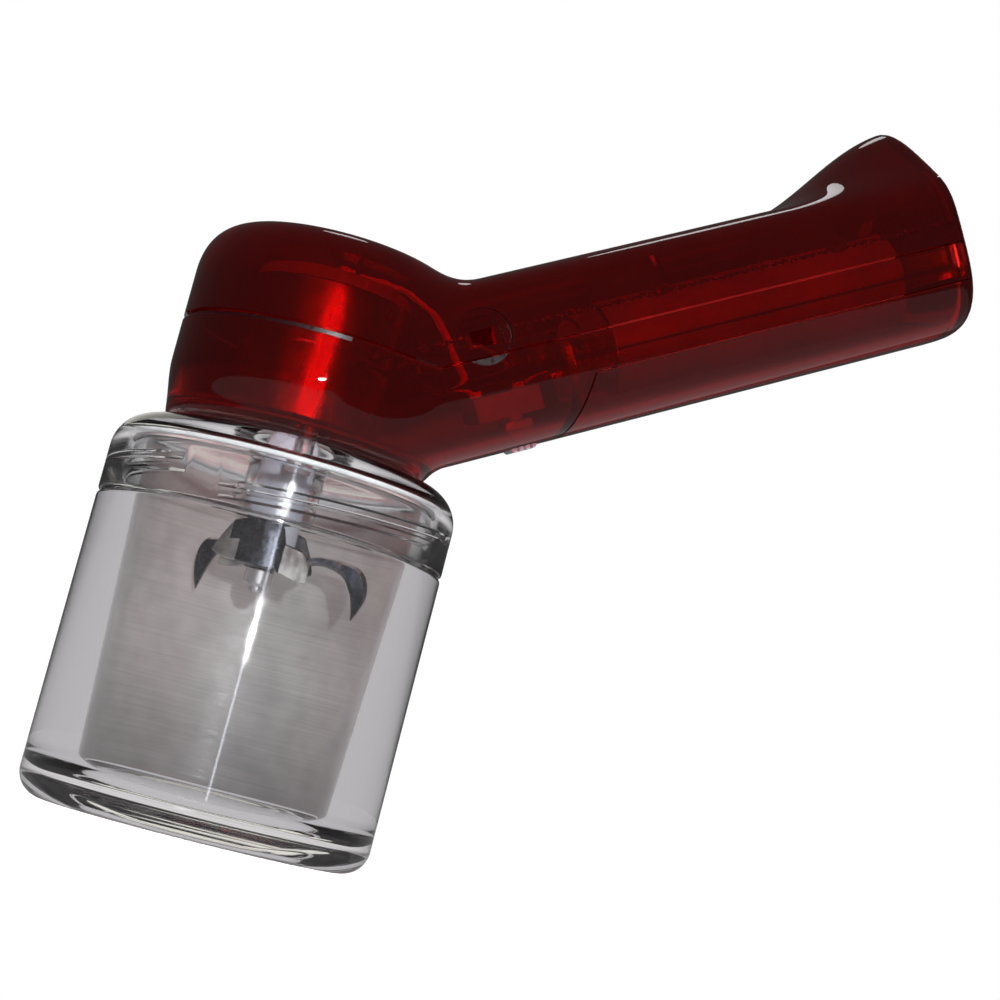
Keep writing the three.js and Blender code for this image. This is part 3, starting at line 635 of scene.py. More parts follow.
def surface_net(field, low, step, count):
    """A quad mesh of field's zero surface on a grid, its points then moved onto the surface."""
    axes = [low[i] + step * np.arange(count[i]) for i in range(3)]
    x, y, z = np.meshgrid(*axes, indexing="ij")
    values = field(x, y, z)
    inside = values < 0
    shape = tuple(n - 1 for n in count)
    total = np.zeros(shape + (3,))
    hits = np.zeros(shape)
    for axis in range(3):
        others = [a for a in range(3) if a != axis]
        for first in (0, 1):
            for second in (0, 1):
                start = [slice(0, n) for n in shape]
                start[others[0]] = slice(first, first + shape[others[0]])
                start[others[1]] = slice(second, second + shape[others[1]])
                end = list(start)
                end[axis] = slice(1, 1 + shape[axis])
                a, b = values[tuple(start)], values[tuple(end)]
                crossed = (a < 0) != (b < 0)
                share = np.where(crossed, a / np.where(crossed, a - b, 1), 0)
                where = np.zeros(shape + (3,))
                where[..., axis] = share
                where[..., others[0]] = first
                where[..., others[1]] = second
                total += where * crossed[..., None]
                hits += crossed
    active = hits > 0
    index = np.full(shape, -1)
    index[active] = np.arange(active.sum())
    cells = np.argwhere(active)
    points = (cells + total[active] / hits[active][:, None]) * step + np.asarray(low)
    quads = []
    for axis in range(3):
        others = [a for a in range(3) if a != axis]
        inner = [slice(1, n - 1) for n in count]
        inner[axis] = slice(0, count[axis] - 1)
        after = list(inner)
        after[axis] = slice(1, count[axis])
        a, b = inside[tuple(inner)], inside[tuple(after)]
        for leaving in (True, False):
            found = np.argwhere((a & ~b) if leaving else (~a & b))
            if not len(found):
                continue
            for other in others:
                found[:, other] += 1
            corners = []
            for first, second in ((1, 1), (0, 1), (0, 0), (1, 0)):
                cell = found.copy()
                cell[:, others[0]] -= first
                cell[:, others[1]] -= second
                corners.append(index[cell[:, 0], cell[:, 1], cell[:, 2]])
            quad = np.stack(corners, 1)
            turn = leaving != (axis == 1)
            quads.append(quad if turn else quad[:, ::-1])
    return settle(field, points, step), np.concatenate(quads)


def settle(field, points, step):
    """Moves points onto the field's zero surface along its slope."""
    reach = 0.02
    for _ in range(3):
        x, y, z = points.T
        value = field(x, y, z)
        slope = np.stack(
            [
                field(x + reach, y, z) - field(x - reach, y, z),
                field(x, y + reach, z) - field(x, y - reach, z),
                field(x, y, z + reach) - field(x, y, z - reach),
            ],
            1,
        ) / (2 * reach)
        size = np.maximum((slope**2).sum(1), 0.05)
        move = -(value / size)[:, None] * slope
        length = np.linalg.norm(move, axis=1)
        move *= np.minimum(1, 0.6 * step / np.maximum(length, 1e-9))[:, None]
        points = points + move
    return points


# ------------ red shells
def seam_space(shift):
    """Everything above the seam, which runs level round the head and then along the handle."""
    level = HEAD_SEAM + shift
    turn = (level - HANDLE_PIVOT) * 2 - (HANDLE_SEAM + shift) * 2 * COS
    start, end = in_part(turn, 0, HANDLE_SEAM + shift), in_part(150, 0, HANDLE_SEAM + shift)
    left, top, half_width = -60, 200, 45  # well outside the shells
    outline = [(left, level), (start[0], start[2]), (end[0], end[2]), (100, top), (left, top)]
    return prism(outline, half_width)


def seam_groove():
    """The step under the seam on the head's far side from the handle, running out at both ends."""
    start, end = GROOVE_ENDS
    rings = []
    for degrees in range(start, end + 1, 4):
        a = math.radians(degrees)
        depth = GROOVE_DEPTH * math.sin(math.pi * (degrees - start) / (end - start)) - 0.05
        rings.append(
            [
                (r * math.cos(a), r * math.sin(a), z)
                for r, z in (
                    (HEAD_R - depth, HEAD_SEAM - GROOVE_HEIGHT),
                    (HEAD_R + 2, HEAD_SEAM - GROOVE_HEIGHT),
                    (HEAD_R + 2, HEAD_SEAM),
                    (HEAD_R - depth, HEAD_SEAM),
                )
            ]
        )
    return loft(rings)


def door_space(grow):
    start, edge = DOOR_START - grow, DOOR_EDGE + grow
    wall, top = HANDLE_END - DOOR_WALL - grow, DOOR_WALL_TOP + grow
    below, lean = edge - 25, 25 * SIN / COS
    outline = [(start - lean, below), (130, below), (130, top), (wall, top), (wall, edge), (start, edge)]
    return prism(outline, 40, tilted=True)


def paint_cut_faces(shell):
    """Gives a dark, dull look to the faces that lie inside the uncut plastic: dark joints where the shells
    meet, and painted shade on the groove under the seam and on the outer ring of each side recess.
    """
    mesh = shell.data
    centres = np.array([p.center[:] for p in mesh.polygons]) / MM
    s, t = handle_axes(centres[:, 0], centres[:, 2])
    depth = -shell_field(*centres.T)
    # the recess's deeper middle keeps the clear look; its outer ring stays dark as painted shade
    depth[np.hypot(s - BOSS_S, t - BOSS_T) < BOSS_R - BOSS_STEP - 0.1] = 0
    mesh.materials.clear()
    mesh.materials.append(LOOKS["red_plastic"])
    mesh.materials.append(LOOKS["red_joint_and_painted_shade"])
    # faces inside the uncut plastic take the dark look: joints, and painted shade in the groove and recess
    # rings
    for polygon, deep in zip(mesh.polygons, depth):
        polygon.material_index = int(deep > 0.1)


def inner_reach():
    """The handle's inside, grown a little so that walls across it bite into the shell."""
    step = 1.4
    low, high = (-12.0, -20.0, 45.0), (100.0, 20.0, 140.0)
    count = [int((b - a) / step) + 2 for a, b in zip(low, high)]
    points, quads = surface_net(
        lambda x, y, z: handle_field(x, y, z, WALL - 0.6, HANDLE_END - 2), low, step, count
    )
    return points, outward(points, quads.tolist())


def handle_walls(reach):
    """Ribs over the cells for the upper shell, and the bulkhead behind the contacts for the lower one."""
    half = RIB_THICK / 2
    front_rib, rear_rib = (block((s - half, -30, 3), (s + half, 30, 40), True) for s in RIBS)
    ribs = add_mesh("ribs", *front_rib, [])
    combined(ribs, "UNION", rear_rib)
    for y in (-CELL_Y, CELL_Y):
        hole = turned_solid([(CELL_R + 0.4, 0), (CELL_R + 0.4, 60)], 64)
        points = along_handle(hole[0], 40, y, CELL_T)
        combined(ribs, "DIFFERENCE", (points, outward(points, hole[1])))
    combined(ribs, "INTERSECT", reach)
    start, end = BULKHEAD
    bulkhead = add_mesh("bulkhead", *block((start, -30, -30), (end, 30, -0.1), True), [])
    combined(bulkhead, "DIFFERENCE", block((start - 1, -2, -6.5), (end + 1, 2, 3), True))
    combined(bulkhead, "INTERSECT", reach)
    return ribs, bulkhead


def whole_shell():
    """The red shell in one piece, with the handle's end above the door taken off."""
    step = 0.62
    reach = HEAD_R + 1.5
    low = (-reach, -reach, HEAD_FOOT - 1.7)
    high = (100.0, reach, 137.0)
    count = [int((b - a) / step) + 2 for a, b in zip(low, high)]
    points, quads = surface_net(shell_field, low, step, count)
    whole = add_mesh("whole_shell", points, outward(points, quads.tolist()), LOOKS["red_plastic"])
    upper_end = block((HANDLE_END - 1.0, -30, DOOR_WALL_TOP + 0.12), (125, 30, 45), tilted=True)
    return combined(whole, "DIFFERENCE", upper_end)


def cut_recess(upper, lower, side):
    """The stepped round recess in one side of the handle, with its window through the upper shell."""
    face = side * HANDLE_HALF_WIDTH
    beyond = face + side * 3

    def disc(radius, depth):
        return cross_rod(radius, BOSS_S, BOSS_T, *sorted((beyond, face - side * depth)))

    y_low, y_high = sorted((beyond, face - side * 4))
    window = block(
        (BOSS_S - WINDOW_HALF_LENGTH, y_low, BOSS_T - WINDOW_HALF_HEIGHT),
        (BOSS_S + WINDOW_HALF_LENGTH, y_high, BOSS_T + WINDOW_HALF_HEIGHT),
        tilted=True,
    )
    recess, step_down = disc(BOSS_R, BOSS_DEPTHS[0]), disc(BOSS_R - BOSS_STEP, BOSS_DEPTHS[1])
    combined(upper, "DIFFERENCE", recess, step_down, window)
    combined(lower, "DIFFERENCE", recess, step_down)


def red_shells():
    door = whole_shell()
    upper = copy_of(door, "upper_shell")
    lower = copy_of(door, "lower_shell")
    door.name = "door_shell"
    door.data.name = "door_shell"
    ribs, bulkhead = handle_walls(inner_reach())
    combine(upper, "UNION", ribs)
    combine(lower, "UNION", bulkhead)
    combined(upper, "INTERSECT", seam_space(GAP))
    combined(upper, "DIFFERENCE", door_space(DOOR_GAP))
    combined(lower, "DIFFERENCE", seam_space(-GAP), seam_groove(), door_space(DOOR_GAP))
    combined(door, "INTERSECT", door_space(0))
    low, high = HEAD_FOOT - 3, HEAD_FOOT + 5
    shaft_hole = turned_solid([(3.2, low), (3.2, high)], 48)
    slot = block((SLOT[0], -SLOT_HALF_WIDTH, -20), (SLOT[1], SLOT_HALF_WIDTH, -9), tilted=True)
    combined(lower, "DIFFERENCE", shaft_hole, slot)
    for side in (-1, 1):
        cut_recess(upper, lower, side)
    for shell, body, node in (
        (upper, "housing", "upper_housing"),
        (lower, "housing", "lower_housing"),
        (door, "door", "battery_door"),
    ):
        paint_cut_faces(shell)
        finish_shading(shell.data, 38)
        stand_for(shell, body, "red_plastic", node)


# ------------ jar and lid
def thread_ridge(wall_r, crest_r, foot, turn):
    """One helical ridge with a rounded crest, fading into its wall at both ends."""
    steps = 48
    inward = math.copysign(1, wall_r - crest_r)
    rings = []
    for i in range(steps + 1):
        along = i / steps
        angle = math.radians(turn + THREAD_ARC * along)
        z = foot + THREAD_STARTS * THREAD_PITCH * THREAD_ARC * along / 360
        fade = min(1.0, 6 * along + 0.02, 6 * (1 - along) + 0.02)
        crest = wall_r + (crest_r - wall_r) * math.sqrt(fade)
        root = wall_r + inward * 0.3
        mid = (wall_r + crest) / 2
        section = [(root, -0.66), (mid, -0.56), (crest, -0.3), (crest, 0.3), (mid, 0.56), (root, 0.66)]
        rings.append([(r * math.cos(angle), r * math.sin(angle), z + dz) for r, dz in section])
    return loft(rings)


def thread_ridges(wall_r, crest_r, foot):
    return [thread_ridge(wall_r, crest_r, foot, 360 * i / THREAD_STARTS) for i in range(THREAD_STARTS)]


def jar():
    cavity_corner = (CAVITY_FOOT_R - CAVITY_CORNER, JAR_FLOOR + CAVITY_CORNER)
    profile = [
        (0, 0.25),
        (12, 0.25),
        (13, 0),
        *arc((JAR_R - JAR_CORNER, JAR_CORNER), JAR_CORNER, -90, 0, 14),
        (JAR_R, JAR_SHOULDER - 0.6),
        *arc((JAR_R - 0.6, JAR_SHOULDER - 0.6), 0.6, 20, 90, 4),
        (NECK_R + 0.3, JAR_SHOULDER),
        (NECK_R, JAR_SHOULDER + 0.3),
        (NECK_R, NECK_TOP - 0.5),
        *arc((NECK_R - 0.5, NECK_TOP - 0.5), 0.5, 20, 90, 4),
        (CAVITY_R + 0.4, NECK_TOP),
        (CAVITY_R, NECK_TOP - 0.4),
        *arc(cavity_corner, CAVITY_CORNER, 0, -90, 12),
        (0, JAR_FLOOR),
    ]
    looks = [LOOKS["clear_plastic"], LOOKS["scratched_wall"]]
    made = add_mesh("jar_clear", *lathe(profile, 160), looks)
    combined(made, "UNION", *thread_ridges(NECK_R, JAR_CREST_R, THREAD_FOOT))
    for polygon in made.data.polygons:
        centre = polygon.center / MM
        radius = math.hypot(centre.x, centre.y)
        if CAVITY_FOOT_R - 1 < radius < CAVITY_R + 0.1 and JAR_FLOOR + 1.5 < centre.z < NECK_TOP - 0.6:
            polygon.material_index = 1
    finish_shading(made.data, 32)
    stand_for(made, "jar", "clear_plastic", "jar")


def clear_lid():
    under = LID_TOP - LID_PLATE
    profile = [
        (TUBE_BORE_R, TUBE_FOOT),
        (TUBE_R - 0.3, TUBE_FOOT),
        (TUBE_R, TUBE_FOOT + 0.3),
        *arc((TUBE_R + 1, under - 1), 1, 180, 90, 5),
        *arc((LID_BORE_R - 1.2, under - 1.2), 1.2, 90, 0, 5),
        (LID_BORE_R, LID_FOOT + 0.3),
        (LID_BORE_R + 0.3, LID_FOOT),
        (JAR_R - 0.5, LID_FOOT),
        *arc((JAR_R - 0.5, LID_FOOT + 0.5), 0.5, -70, 0, 4),
        *arc((JAR_R - LID_SHOULDER, LID_TOP - LID_SHOULDER), LID_SHOULDER, 0, 90, 16),
        (TUBE_BORE_R, LID_TOP),
    ]
    made = add_mesh("lid_clear", *lathe(profile, 160, closed=True), LOOKS["clear_plastic"])
    combined(made, "UNION", *thread_ridges(LID_BORE_R, LID_CREST_R, THREAD_FOOT + THREAD_PITCH / 2))
    finish_shading(made.data, 32)
    stand_for(made, "housing", "clear_plastic", "clear_lid")


def seal():
    low, high = box_mm("jar_seal")
    inner, outer, half = 20.8, high.x, (high.z - low.z) / 2
    middle = (low.z + high.z) / 2
    profile = [
        *arc((outer - half, middle), half, -90, 90, 8),
        *arc((inner + half, middle), half, 90, 270, 8),
    ]
    made = add_mesh("seal_ring", *lathe(profile, 128, closed=True), LOOKS["silicone"])
    stand_for(made, "seal_ring", "silicone", "jar_seal")


# ------------ blades
BLADE_TURN = math.radians(-20)
REAR_CLAW_TURN = math.radians(140)
REAR_CLAW_DROP = 1.0
CLAW_PLATE = 40.8
HUB_R = 3.6


def turned_blade(points, extra=0.0):
    a = BLADE_TURN + extra
    c, s = math.cos(a), math.sin(a)
    return [(x * c - y * s, x * s + y * c, z) for x, y, z in points]


def catmull(stops, count):
    """A smooth run of rows through rows of numbers."""
    rows = np.asarray(stops, float)
    padded = np.vstack([2 * rows[0] - rows[1], rows, 2 * rows[-1] - rows[-2]])
    out = []
    spans = len(rows) - 1
    for i in range(count):
        u = i / (count - 1) * spans
        k = min(int(u), spans - 1)
        f = u - k
        a, b, c, d = padded[k : k + 4]
        square, cube = 2 * a - 5 * b + 4 * c - d, 3 * b - 3 * c + d - a
        out.append(0.5 * (2 * b + (c - a) * f + square * f**2 + cube * f**3))
    return out


def blade_hub(low, high, top_edge):
    """The flat disc in a blade's middle."""
    rim = [(HUB_R - 0.3, low), (HUB_R, low + 0.3), (HUB_R, high - top_edge), (HUB_R - 0.3, high)]
    return turned_solid(rim, 48)


def claw_rings(rows, turn, drop):
    """Sections of one claw arm, square to its run, with a chamfered upper side."""
    section = [(0.5, 0.3), (0.32, 0.5), (-0.32, 0.5), (-0.5, 0.12)]
    section += [(-0.5, -0.12), (-0.32, -0.5), (0.32, -0.5)]
    rings = []
    for i, (reach, height, deep, wide) in enumerate(rows):
        height -= drop * min(1, reach / 10)
        before, after = rows[max(i - 1, 0)], rows[min(i + 1, len(rows) - 1)]
        along = np.array([after[0] - before[0], after[1] - before[1]])
        along /= np.linalg.norm(along)
        x, z = along * deep
        ring = [(reach - z * a, wide * b, height + x * a) for a, b in section]
        rings.append(turned_blade(ring, turn))
    return rings


def claw_blade():
    foot, top = box_mm("claw_blade")[0].z, box_mm("claw_blade")[1].z
    # reach, height, depth of the section in the arm's plane, and width across it
    stops = [
        (1.2, CLAW_PLATE, 1.2, 3.4),
        (5.0, CLAW_PLATE + 0.1, 1.2, 3.0),
        (8.6, CLAW_PLATE + 0.9, 1.3, 2.6),
        (11.6, top - 1.3, 1.9, 2.4),
        (13.7, top - 2.2, 2.9, 2.2),
        (14.7, top - 4.2, 2.5, 1.8),
        (14.8, top - 6.3, 1.3, 1.1),
        (14.6, foot + 0.05, 0.12, 0.12),
    ]
    rows = catmull(stops, 40)
    front = loft(claw_rings(rows, 0.0, 0.0))
    rear = loft(claw_rings(rows, REAR_CLAW_TURN, REAR_CLAW_DROP))
    hub = blade_hub(CLAW_PLATE - 0.6, CLAW_PLATE + 0.6, 0.3)
    made = add_mesh("claw_blade_steel", *hub, LOOKS["blade_steel"])
    combined(made, "UNION", front, rear)
    # the upward faces of the outer claws get the bright look: polished steel and painted highlight
    polish_and_painted_highlight(made, lambda centre, normal: normal.z > 0.75 and math.hypot(centre.x, centre.y) > 8.5)
    finish_shading(made.data, 24)
    stand_for(made, "rotor", "blade_steel", "claw_blade")


def polish_and_painted_highlight(obj, chosen):
    """Gives the bright polished look, which partly stands as painted highlight, to the faces that chosen
    picks by their centre and normal.
    """
    obj.data.materials.clear()
    obj.data.materials.append(LOOKS["blade_steel"])
    obj.data.materials.append(LOOKS["blade_polish_and_painted_highlight"])
    for polygon in obj.data.polygons:
        polygon.material_index = int(chosen(polygon.center / MM, polygon.normal))


def wing_plate(turn):
    """A folded-up wing: a tall middle, and side fins that sweep back and down to points."""
    foot, top = box_mm("wing_blade")[0].z, box_mm("wing_blade")[1].z
    fold = 5.2
    thick = 1.2
    # distance from the middle, lowest and highest points there, and how far back the plate is swept
    stations = [
        (-6.9, foot + 0.7, foot + 1.3, 2.4),
        (-6.0, foot + 0.3, foot + 3.4, 2.0),
        (-4.6, foot, foot + 5.7, 1.3),
        (-2.9, foot, top - 0.9, 0.3),
        (-2.1, foot, top - 0.1, 0.0),
        (0.0, foot, top, -0.15),
        (2.1, foot, top - 0.1, 0.0),
        (2.9, foot, top - 1.1, 0.3),
        (3.5, foot - 0.3, foot + 4.0, 0.9),
        (5.9, foot - 0.9, foot + 3.6, 1.8),
        (7.4, foot - 0.9, foot + 2.0, 2.3),
    ]
    rings = []
    for across, low, high, back in stations:
        out = fold + thick - back
        thin = thick if abs(across) < 3 else thick * (1 - 0.75 * (abs(across) - 3) / 4.6)
        rings.append(
            [
                (out, across, low + 0.15),
                (out - 0.1, across, (low + high) / 2),
                (out - 0.35, across, high - 0.2),
                (out - 0.35 - thin * 0.4, across, high),
                (out - thin, across, high - 0.3),
                (out - thin, across, low + 0.15),
                (out - thin * 0.5, across, low),
            ]
        )
    points, faces = loft(rings)
    return turned_blade(points, turn), faces


def wing_blade():
    foot = box_mm("wing_blade")[0].z
    made = add_mesh("wing_blade_steel", *blade_hub(foot, foot + 1.2, 0.2), LOOKS["blade_steel"])
    for turn in (math.pi / 2, -math.pi / 2):
        points, faces = block((1, -2.8, foot), (6.0, 2.8, foot + 1.2))
        combined(made, "UNION", (turned_blade(points, turn), faces), wing_plate(turn))
    away = Vector((-math.sin(BLADE_TURN), math.cos(BLADE_TURN), 0))
    side = Vector((math.cos(BLADE_TURN), math.sin(BLADE_TURN), 0))

    # the low outer fins get the bright look: polished steel and painted highlight
    def on_fin(centre, normal):
        return abs(centre.dot(side)) > 3.2 and abs(centre.dot(away)) > 2.6 and centre.z < foot + 3.4

    polish_and_painted_highlight(made, on_fin)
    finish_shading(made.data, 20)
    stand_for(made, "rotor", "blade_steel", "wing_blade")


def sleeve():
    low, high = box_mm("shaft_sleeve")
    radius = high.y
    rim = [(radius - 0.5, low.z), (radius, low.z + 0.5), (radius, high.z - 0.3), (radius - 0.3, high.z)]
    made = add_mesh("sleeve_plastic", *turned_solid(rim, 96), LOOKS["grey_plastic"])
    stand_for(made, "rotor", "grey_plastic", "shaft_sleeve")


def nut_and_shank():
    low, high = box_mm("blade_nut")[0].z, box_mm("blade_nut")[1].z
    tip = box_mm("blade_shank")[0].z
    shank = turned_solid([(0.9, tip), (1.2, tip + 0.3), (1.2, low)], 48)
    nut = turned_solid([(1.8, low), (2.15, low + 0.4), (2.15, high - 0.3), (1.85, high)], 48)
    for name, mesh in (("shank", shank), ("nut", nut)):
        made = add_mesh(name + "_steel", *mesh, LOOKS["motor_steel"])
        stand_for(made, "rotor", "motor_steel", "blade_" + name)


# ------------ cells, springs, motor and switch
def along_handle(points, s, y, t, reverse=False):
    """Turns points of a lathe about Z so that its axis lies along the handle, from station s."""
    flip = -1 if reverse else 1
    return [in_part(s + flip * z, y + x, t + flip * q) for x, q, z in points]


def cells():
    length, nub = CELL_LENGTH, CELL_NUB
    profile = [
        (0, 0.15),
        (CELL_R - 2, 0.15),
        (CELL_R - 1.2, 0),
        *arc((CELL_R - 0.7, 0.7), 0.7, -90, 0, 5),
        *arc((CELL_R - 0.6, length - 0.6), 0.6, 0, 90, 5),
        (CELL_R - 1.6, length - 0.2),
        (2.75, length - 0.2),
        *arc((2.35, length + nub - 0.4), 0.4, 0, 90, 4),
        (0, length + nub),
    ]
    for name, y, reverse in (("battery_front", -CELL_Y, False), ("battery_rear", CELL_Y, True)):
        points, faces = lathe(profile, 72)
        start = CELL_START + (length + nub if reverse else 0)
        points = along_handle(points, start, y, CELL_T, reverse)
        looks = [LOOKS["cell_jacket"], LOOKS["spring_steel"]]
        made = add_mesh(name + "_cell", points, outward(points, faces), looks)
        foot = Vector(in_part(start, y, CELL_T))
        for polygon in made.data.polygons:
            distance = abs((polygon.center / MM - foot).dot(Vector((COS, 0, SIN))))
            if distance < 0.5 or distance > length - 0.5:
                polygon.material_index = 1
        stand_for(made, "housing", "cell_jacket", name)


def tube(points, radius, sides=10):
    """A round wire through points."""
    path = np.asarray(points, float)
    tangent = np.gradient(path, axis=0)
    tangent /= np.linalg.norm(tangent, axis=1)[:, None]
    side = np.cross(tangent[0], (0.3, 0.9, 0.2))
    rings = []
    for p, d in zip(path, tangent):
        side = side - d * np.dot(side, d)
        side /= np.linalg.norm(side)
        other = np.cross(d, side)
        angles = [2 * math.pi * i / sides for i in range(sides)]
        rings.append([tuple(p + radius * (math.cos(a) * side + math.sin(a) * other)) for a in angles])
    return loft(rings)


def springs():
    coils = (
        ("battery_spring", "housing", *FRONT_SPRING, -CELL_Y),
        ("door_spring", "door", HANDLE_END - DOOR_WALL - 1.1, CELL_START + 50.6, CELL_Y),
    )
    for node, body, start, end, y in coils:
        points = []
        for u in np.linspace(0, 1, 150):
            s = start + (end - start) * np.clip((u - 0.14) / 0.72, 0, 1)
            radius = SPRING_R * (1 - 0.35 * u)
            a = 2 * math.pi * SPRING_COILS * u
            points.append(in_part(s, y + radius * math.cos(a), CELL_T + radius * math.sin(a)))
        made = add_mesh(node + "_wire", *tube(points, SPRING_WIRE_R), LOOKS["spring_steel"], 60)
        stand_for(made, body, "spring_steel", node)


def motor_can():
    profile = [
        (2.8, MOTOR_FOOT),
        (MOTOR_R - 1.2, MOTOR_FOOT),
        *arc((MOTOR_R - 1.2, MOTOR_FOOT + 1.2), 1.2, -90, 0, 6),
        (MOTOR_R, MOTOR_TOP),
        (MOTOR_R - 0.8, MOTOR_TOP),
        (MOTOR_R - 0.8, MOTOR_FOOT + 0.8),
        (2.8, MOTOR_FOOT + 0.8),
    ]
    made = add_mesh("can_steel", *lathe(profile, 96, closed=True), LOOKS["motor_steel"])
    stand_for(made, "housing", "motor_steel", "motor_can")


def switch_knob():
    low = HANDLE_SEAM - HANDLE_DOWN - 0.45
    start, end = KNOB
    outline = [(start, -10.5), (start, low + 0.4), (start + 0.4, low)]
    for i in range(3):
        groove = start + 0.95 + i * 1.05
        outline += [(groove, low), (groove + 0.12, low + 0.45)]
        outline += [(groove + 0.36, low + 0.45), (groove + 0.48, low)]
    outline += [(end - 0.4, low), (end, low + 0.4), (end, -10.5)]
    knob = prism(outline, KNOB_HALF_WIDTH, tilted=True)
    made = add_mesh("knob_plastic", *knob, LOOKS["grey_plastic"], 25)
    stem = block((start + 1.2, -1.1, -10.6), (end - 1.2, 1.1, -7.4), tilted=True)
    combined(made, "UNION", stem)
    bevel = made.modifiers.new("round", "BEVEL")
    bevel.width = 0.15 * MM
    bevel.segments = 2
    bevel.limit_method = "ANGLE"
    bevel.angle_limit = math.radians(35)
    apply_modifiers(made)
    finish_shading(made.data, 35)
    stand_for(made, "switch", "grey_plastic", "switch_knob")


# ------------ stage, light and camera
def floor():
    """A pale floor that fades to the white of the backdrop, and is darker in reflections and refractions."""
    size, drop, sides = 600, 0.1, 96
    angles = [2 * math.pi * i / sides for i in range(sides)]
    rim = [(size * math.cos(a), size * math.sin(a), -drop) for a in angles]
    look = Look("floor", (0.88, 0.88, 0.88), 0.9)
    white = look.node("Emission", Color=(1, 1, 1, 1))
    coordinates = look.node("TexCoord")
    distance = look.node("VectorMath", operation="LENGTH")
    look.link(coordinates.outputs["Object"], distance.inputs[0])
    fade_start, fade_end = 0.026, 0.045
    far = look.spread(distance.outputs["Value"], 0, 1, fade_start, fade_end)
    seen = look.mixed(far, look.shader.outputs["BSDF"], white.outputs["Emission"])
    dull = look.node("Emission", Color=(1, 0.97, 1, 1))
    path = look.node("LightPath")
    strength = look.spread(path.outputs["Is Transmission Ray"], 0.25, 0.56, 0, 1)
    look.link(strength, dull.inputs["Strength"])
    mix = look.mixed(path.outputs["Is Camera Ray"], dull.outputs["Emission"], seen)
    look.link(mix, look.output.inputs["Surface"])
    add_mesh("floor", rim, [range(sides)], look.material)


def world():
    """White where the camera sees it, dark in reflections, pale near the horizon through the plastic, and
    grey for rough surfaces, paler to the right."""
    made = bpy.data.worlds.new("studio")
    bpy.context.scene.world = made
    made.use_nodes = True
    tree = made.node_tree
    tree.nodes.clear()
    link = tree.links.new

    def node(kind):
        return tree.nodes.new("ShaderNode" + kind)

    output, path, coordinates, axes = map(node, ("OutputWorld", "LightPath", "TexCoord", "SeparateXYZ"))
    link(coordinates.outputs["Generated"], axes.inputs[0])

    def slope(axis, low, high, start, end):
        """A strength that goes from start to end between two heights of a direction along an axis."""
        ramp = node("MapRange")
        set_range(ramp, low, high, start, end)
        link(axes.outputs[axis], ramp.inputs["Value"])
        return ramp.outputs["Result"]

    def backdrop(color, strength):
        shader = node("Background")
        shader.inputs["Color"].default_value = (*color, 1)
        if isinstance(strength, float):
            shader.inputs["Strength"].default_value = strength
        else:
            link(strength, shader.inputs["Strength"])
        return shader.outputs[0]

    last = backdrop((1.0, 0.985, 0.97), slope("X", -0.8, 0.8, 0.36, 0.62))
    for test, color, strength in (
        ("Is Glossy Ray", (1.0, 0.97, 0.97), 0.06),
        ("Is Transmission Ray", (1.0, 0.97, 0.97), slope("Z", 0.02, 0.1, 0.75, 0.03)),
        ("Is Camera Ray", (1.0, 1.0, 1.0), 1.0),
    ):
        mix = node("MixShader")
        link(path.outputs[test], mix.inputs[0])
        link(last, mix.inputs[1])
        link(backdrop(color, strength), mix.inputs[2])
        last = mix.outputs[0]
    link(last, output.inputs["Surface"])


def light_only(lamp, *nodes):
    """The lamp lights only the pieces that stand for these nodes."""
    chosen = bpy.data.collections.new(lamp.name + "_receivers")
    for node in nodes:
        chosen.objects.link(bpy.data.objects[node])
    lamp.light_linking.receiver_collection = chosen


def area_light(name, place, target, size, power, color=(1, 1, 1)):
    data = bpy.data.lights.new(name, "AREA")
    data.shape = "DISK"
    data.size = size
    data.energy = power
    data.color = color
    obj = bpy.data.objects.new(name, data)
    bpy.context.scene.collection.objects.link(obj)
    obj.location = place
    obj.rotation_euler = (Vector(target) - Vector(place)).to_track_quat("-Z", "Y").to_euler()
    return obj


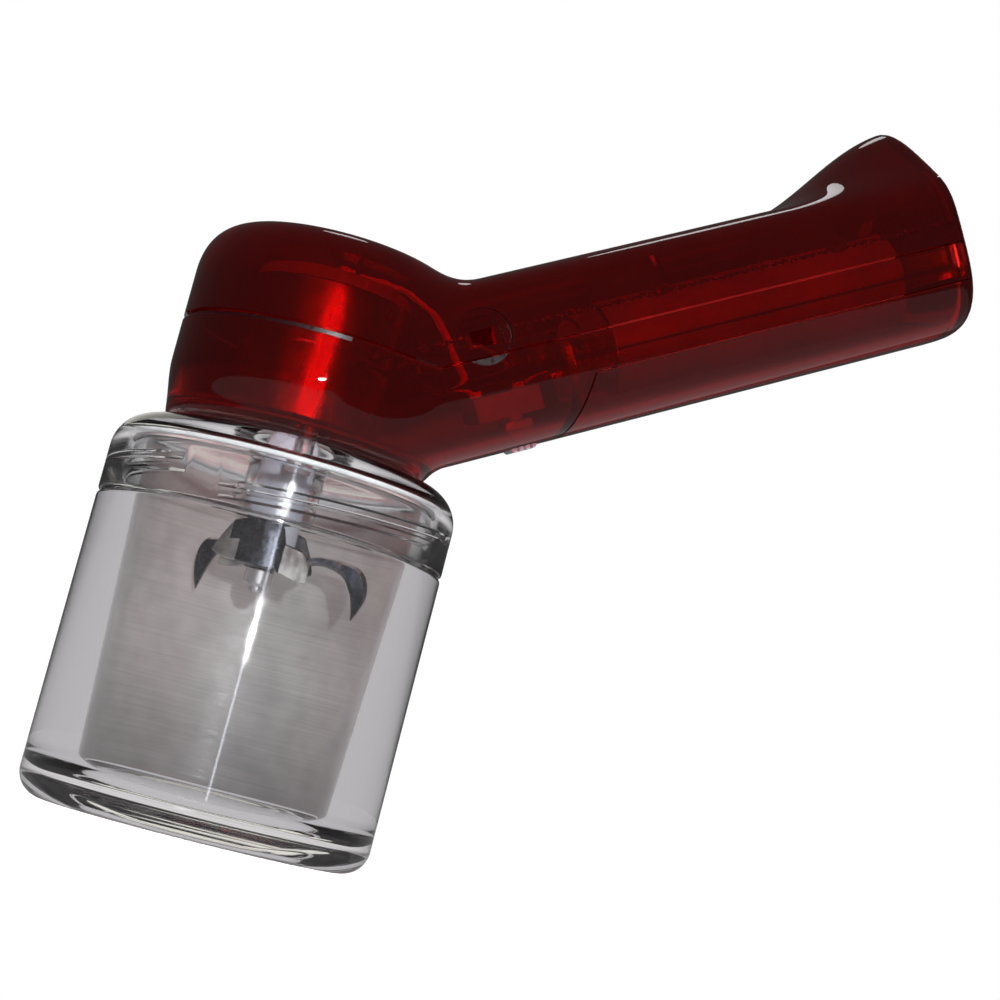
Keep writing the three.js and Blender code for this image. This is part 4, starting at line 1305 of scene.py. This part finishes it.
def lights():
    middle = (0.03, 0, 0.06)
    for name, place, power in (
        ("soft_top", (-0.1, -0.2, 0.7), 5.0),
        ("soft_left", (-0.6, -0.3, 0.3), 2.5),
        ("soft_right", (0.55, -0.3, 0.12), 1.5),
        ("back_wash", (0.1, 0.6, 0.35), 4.0),
    ):
        lamp = area_light(name, place, middle, 0.3, power)
        lamp.visible_glossy = False
        lamp.visible_transmission = False
    rim = area_light("rim_glint", (0.06, 0.44, 0.65), middle, 0.12, 0.08)
    rim.visible_transmission = False
    area_light("flash", (-0.03, -0.40, 0.085), middle, 0.012, 1.6, (0.95, 0.97, 1.0))
    glow = area_light("motor_glow", (-0.17, -0.3, 0.112), (0, 0, 0.064), 0.16, 0.5)
    glow.data.shape = "RECTANGLE"
    glow.data.size_y = 0.02
    light_only(glow, "can_steel")
    shoulder = area_light("shoulder_glint", (-0.1, -0.2, 0.7), middle, 0.3, 5.0, (1, 0.97, 0.9))
    light_only(shoulder, "lid_clear", "jar_clear")
    edge = area_light("edge_glint", (0.0, 0.5, 0.4), middle, 0.5, 0.5, (1, 0.97, 0.88))
    light_only(edge, "lid_clear", "jar_clear")
    knob = area_light("knob_glow", (0.0, -0.3, -0.05), middle, 0.1, 0.15)
    light_only(knob, "knob_plastic")
    coil = area_light("spring_glow", (-0.1, -0.35, 0.2), middle, 0.03, 1.5)
    light_only(coil, "battery_spring_wire", "door_spring_wire")


def camera():
    """A long lens low in front of the jar, turned towards the handle and rolled so that the jar leans."""
    place = Vector((-0.0546, -0.3364, 0.0119))
    yaw, pitch, roll = math.radians(14.54), math.radians(7.86), math.radians(14.32)
    ahead = Vector((math.sin(yaw) * math.cos(pitch), math.cos(yaw) * math.cos(pitch), math.sin(pitch)))
    data = bpy.data.cameras.new("camera")
    data.sensor_width = 36
    data.lens = 83.1
    data.clip_start = 0.01
    obj = bpy.data.objects.new("camera", data)
    bpy.context.scene.collection.objects.link(obj)
    obj.location = place
    obj.rotation_mode = "QUATERNION"
    obj.rotation_quaternion = ahead.to_track_quat("-Z", "Y") @ Quaternion((0, 0, 1), roll)
    bpy.context.scene.camera = obj


def cycles_settings():
    cycles = bpy.context.scene.cycles
    cycles.max_bounces = 16
    cycles.transmission_bounces = 16
    cycles.transparent_max_bounces = 16
    cycles.glossy_bounces = 6
    cycles.diffuse_bounces = 3
    cycles.sample_clamp_indirect = 4.0
    cycles.caustics_reflective = False
    cycles.use_denoising = True
    bpy.context.scene.view_settings.view_transform = "Standard"


paint_frame()
red_shells()
jar()
clear_lid()
seal()
claw_blade()
wing_blade()
sleeve()
nut_and_shank()
cells()
springs()
motor_can()
switch_knob()
floor()
world()
lights()
camera()
cycles_settings()
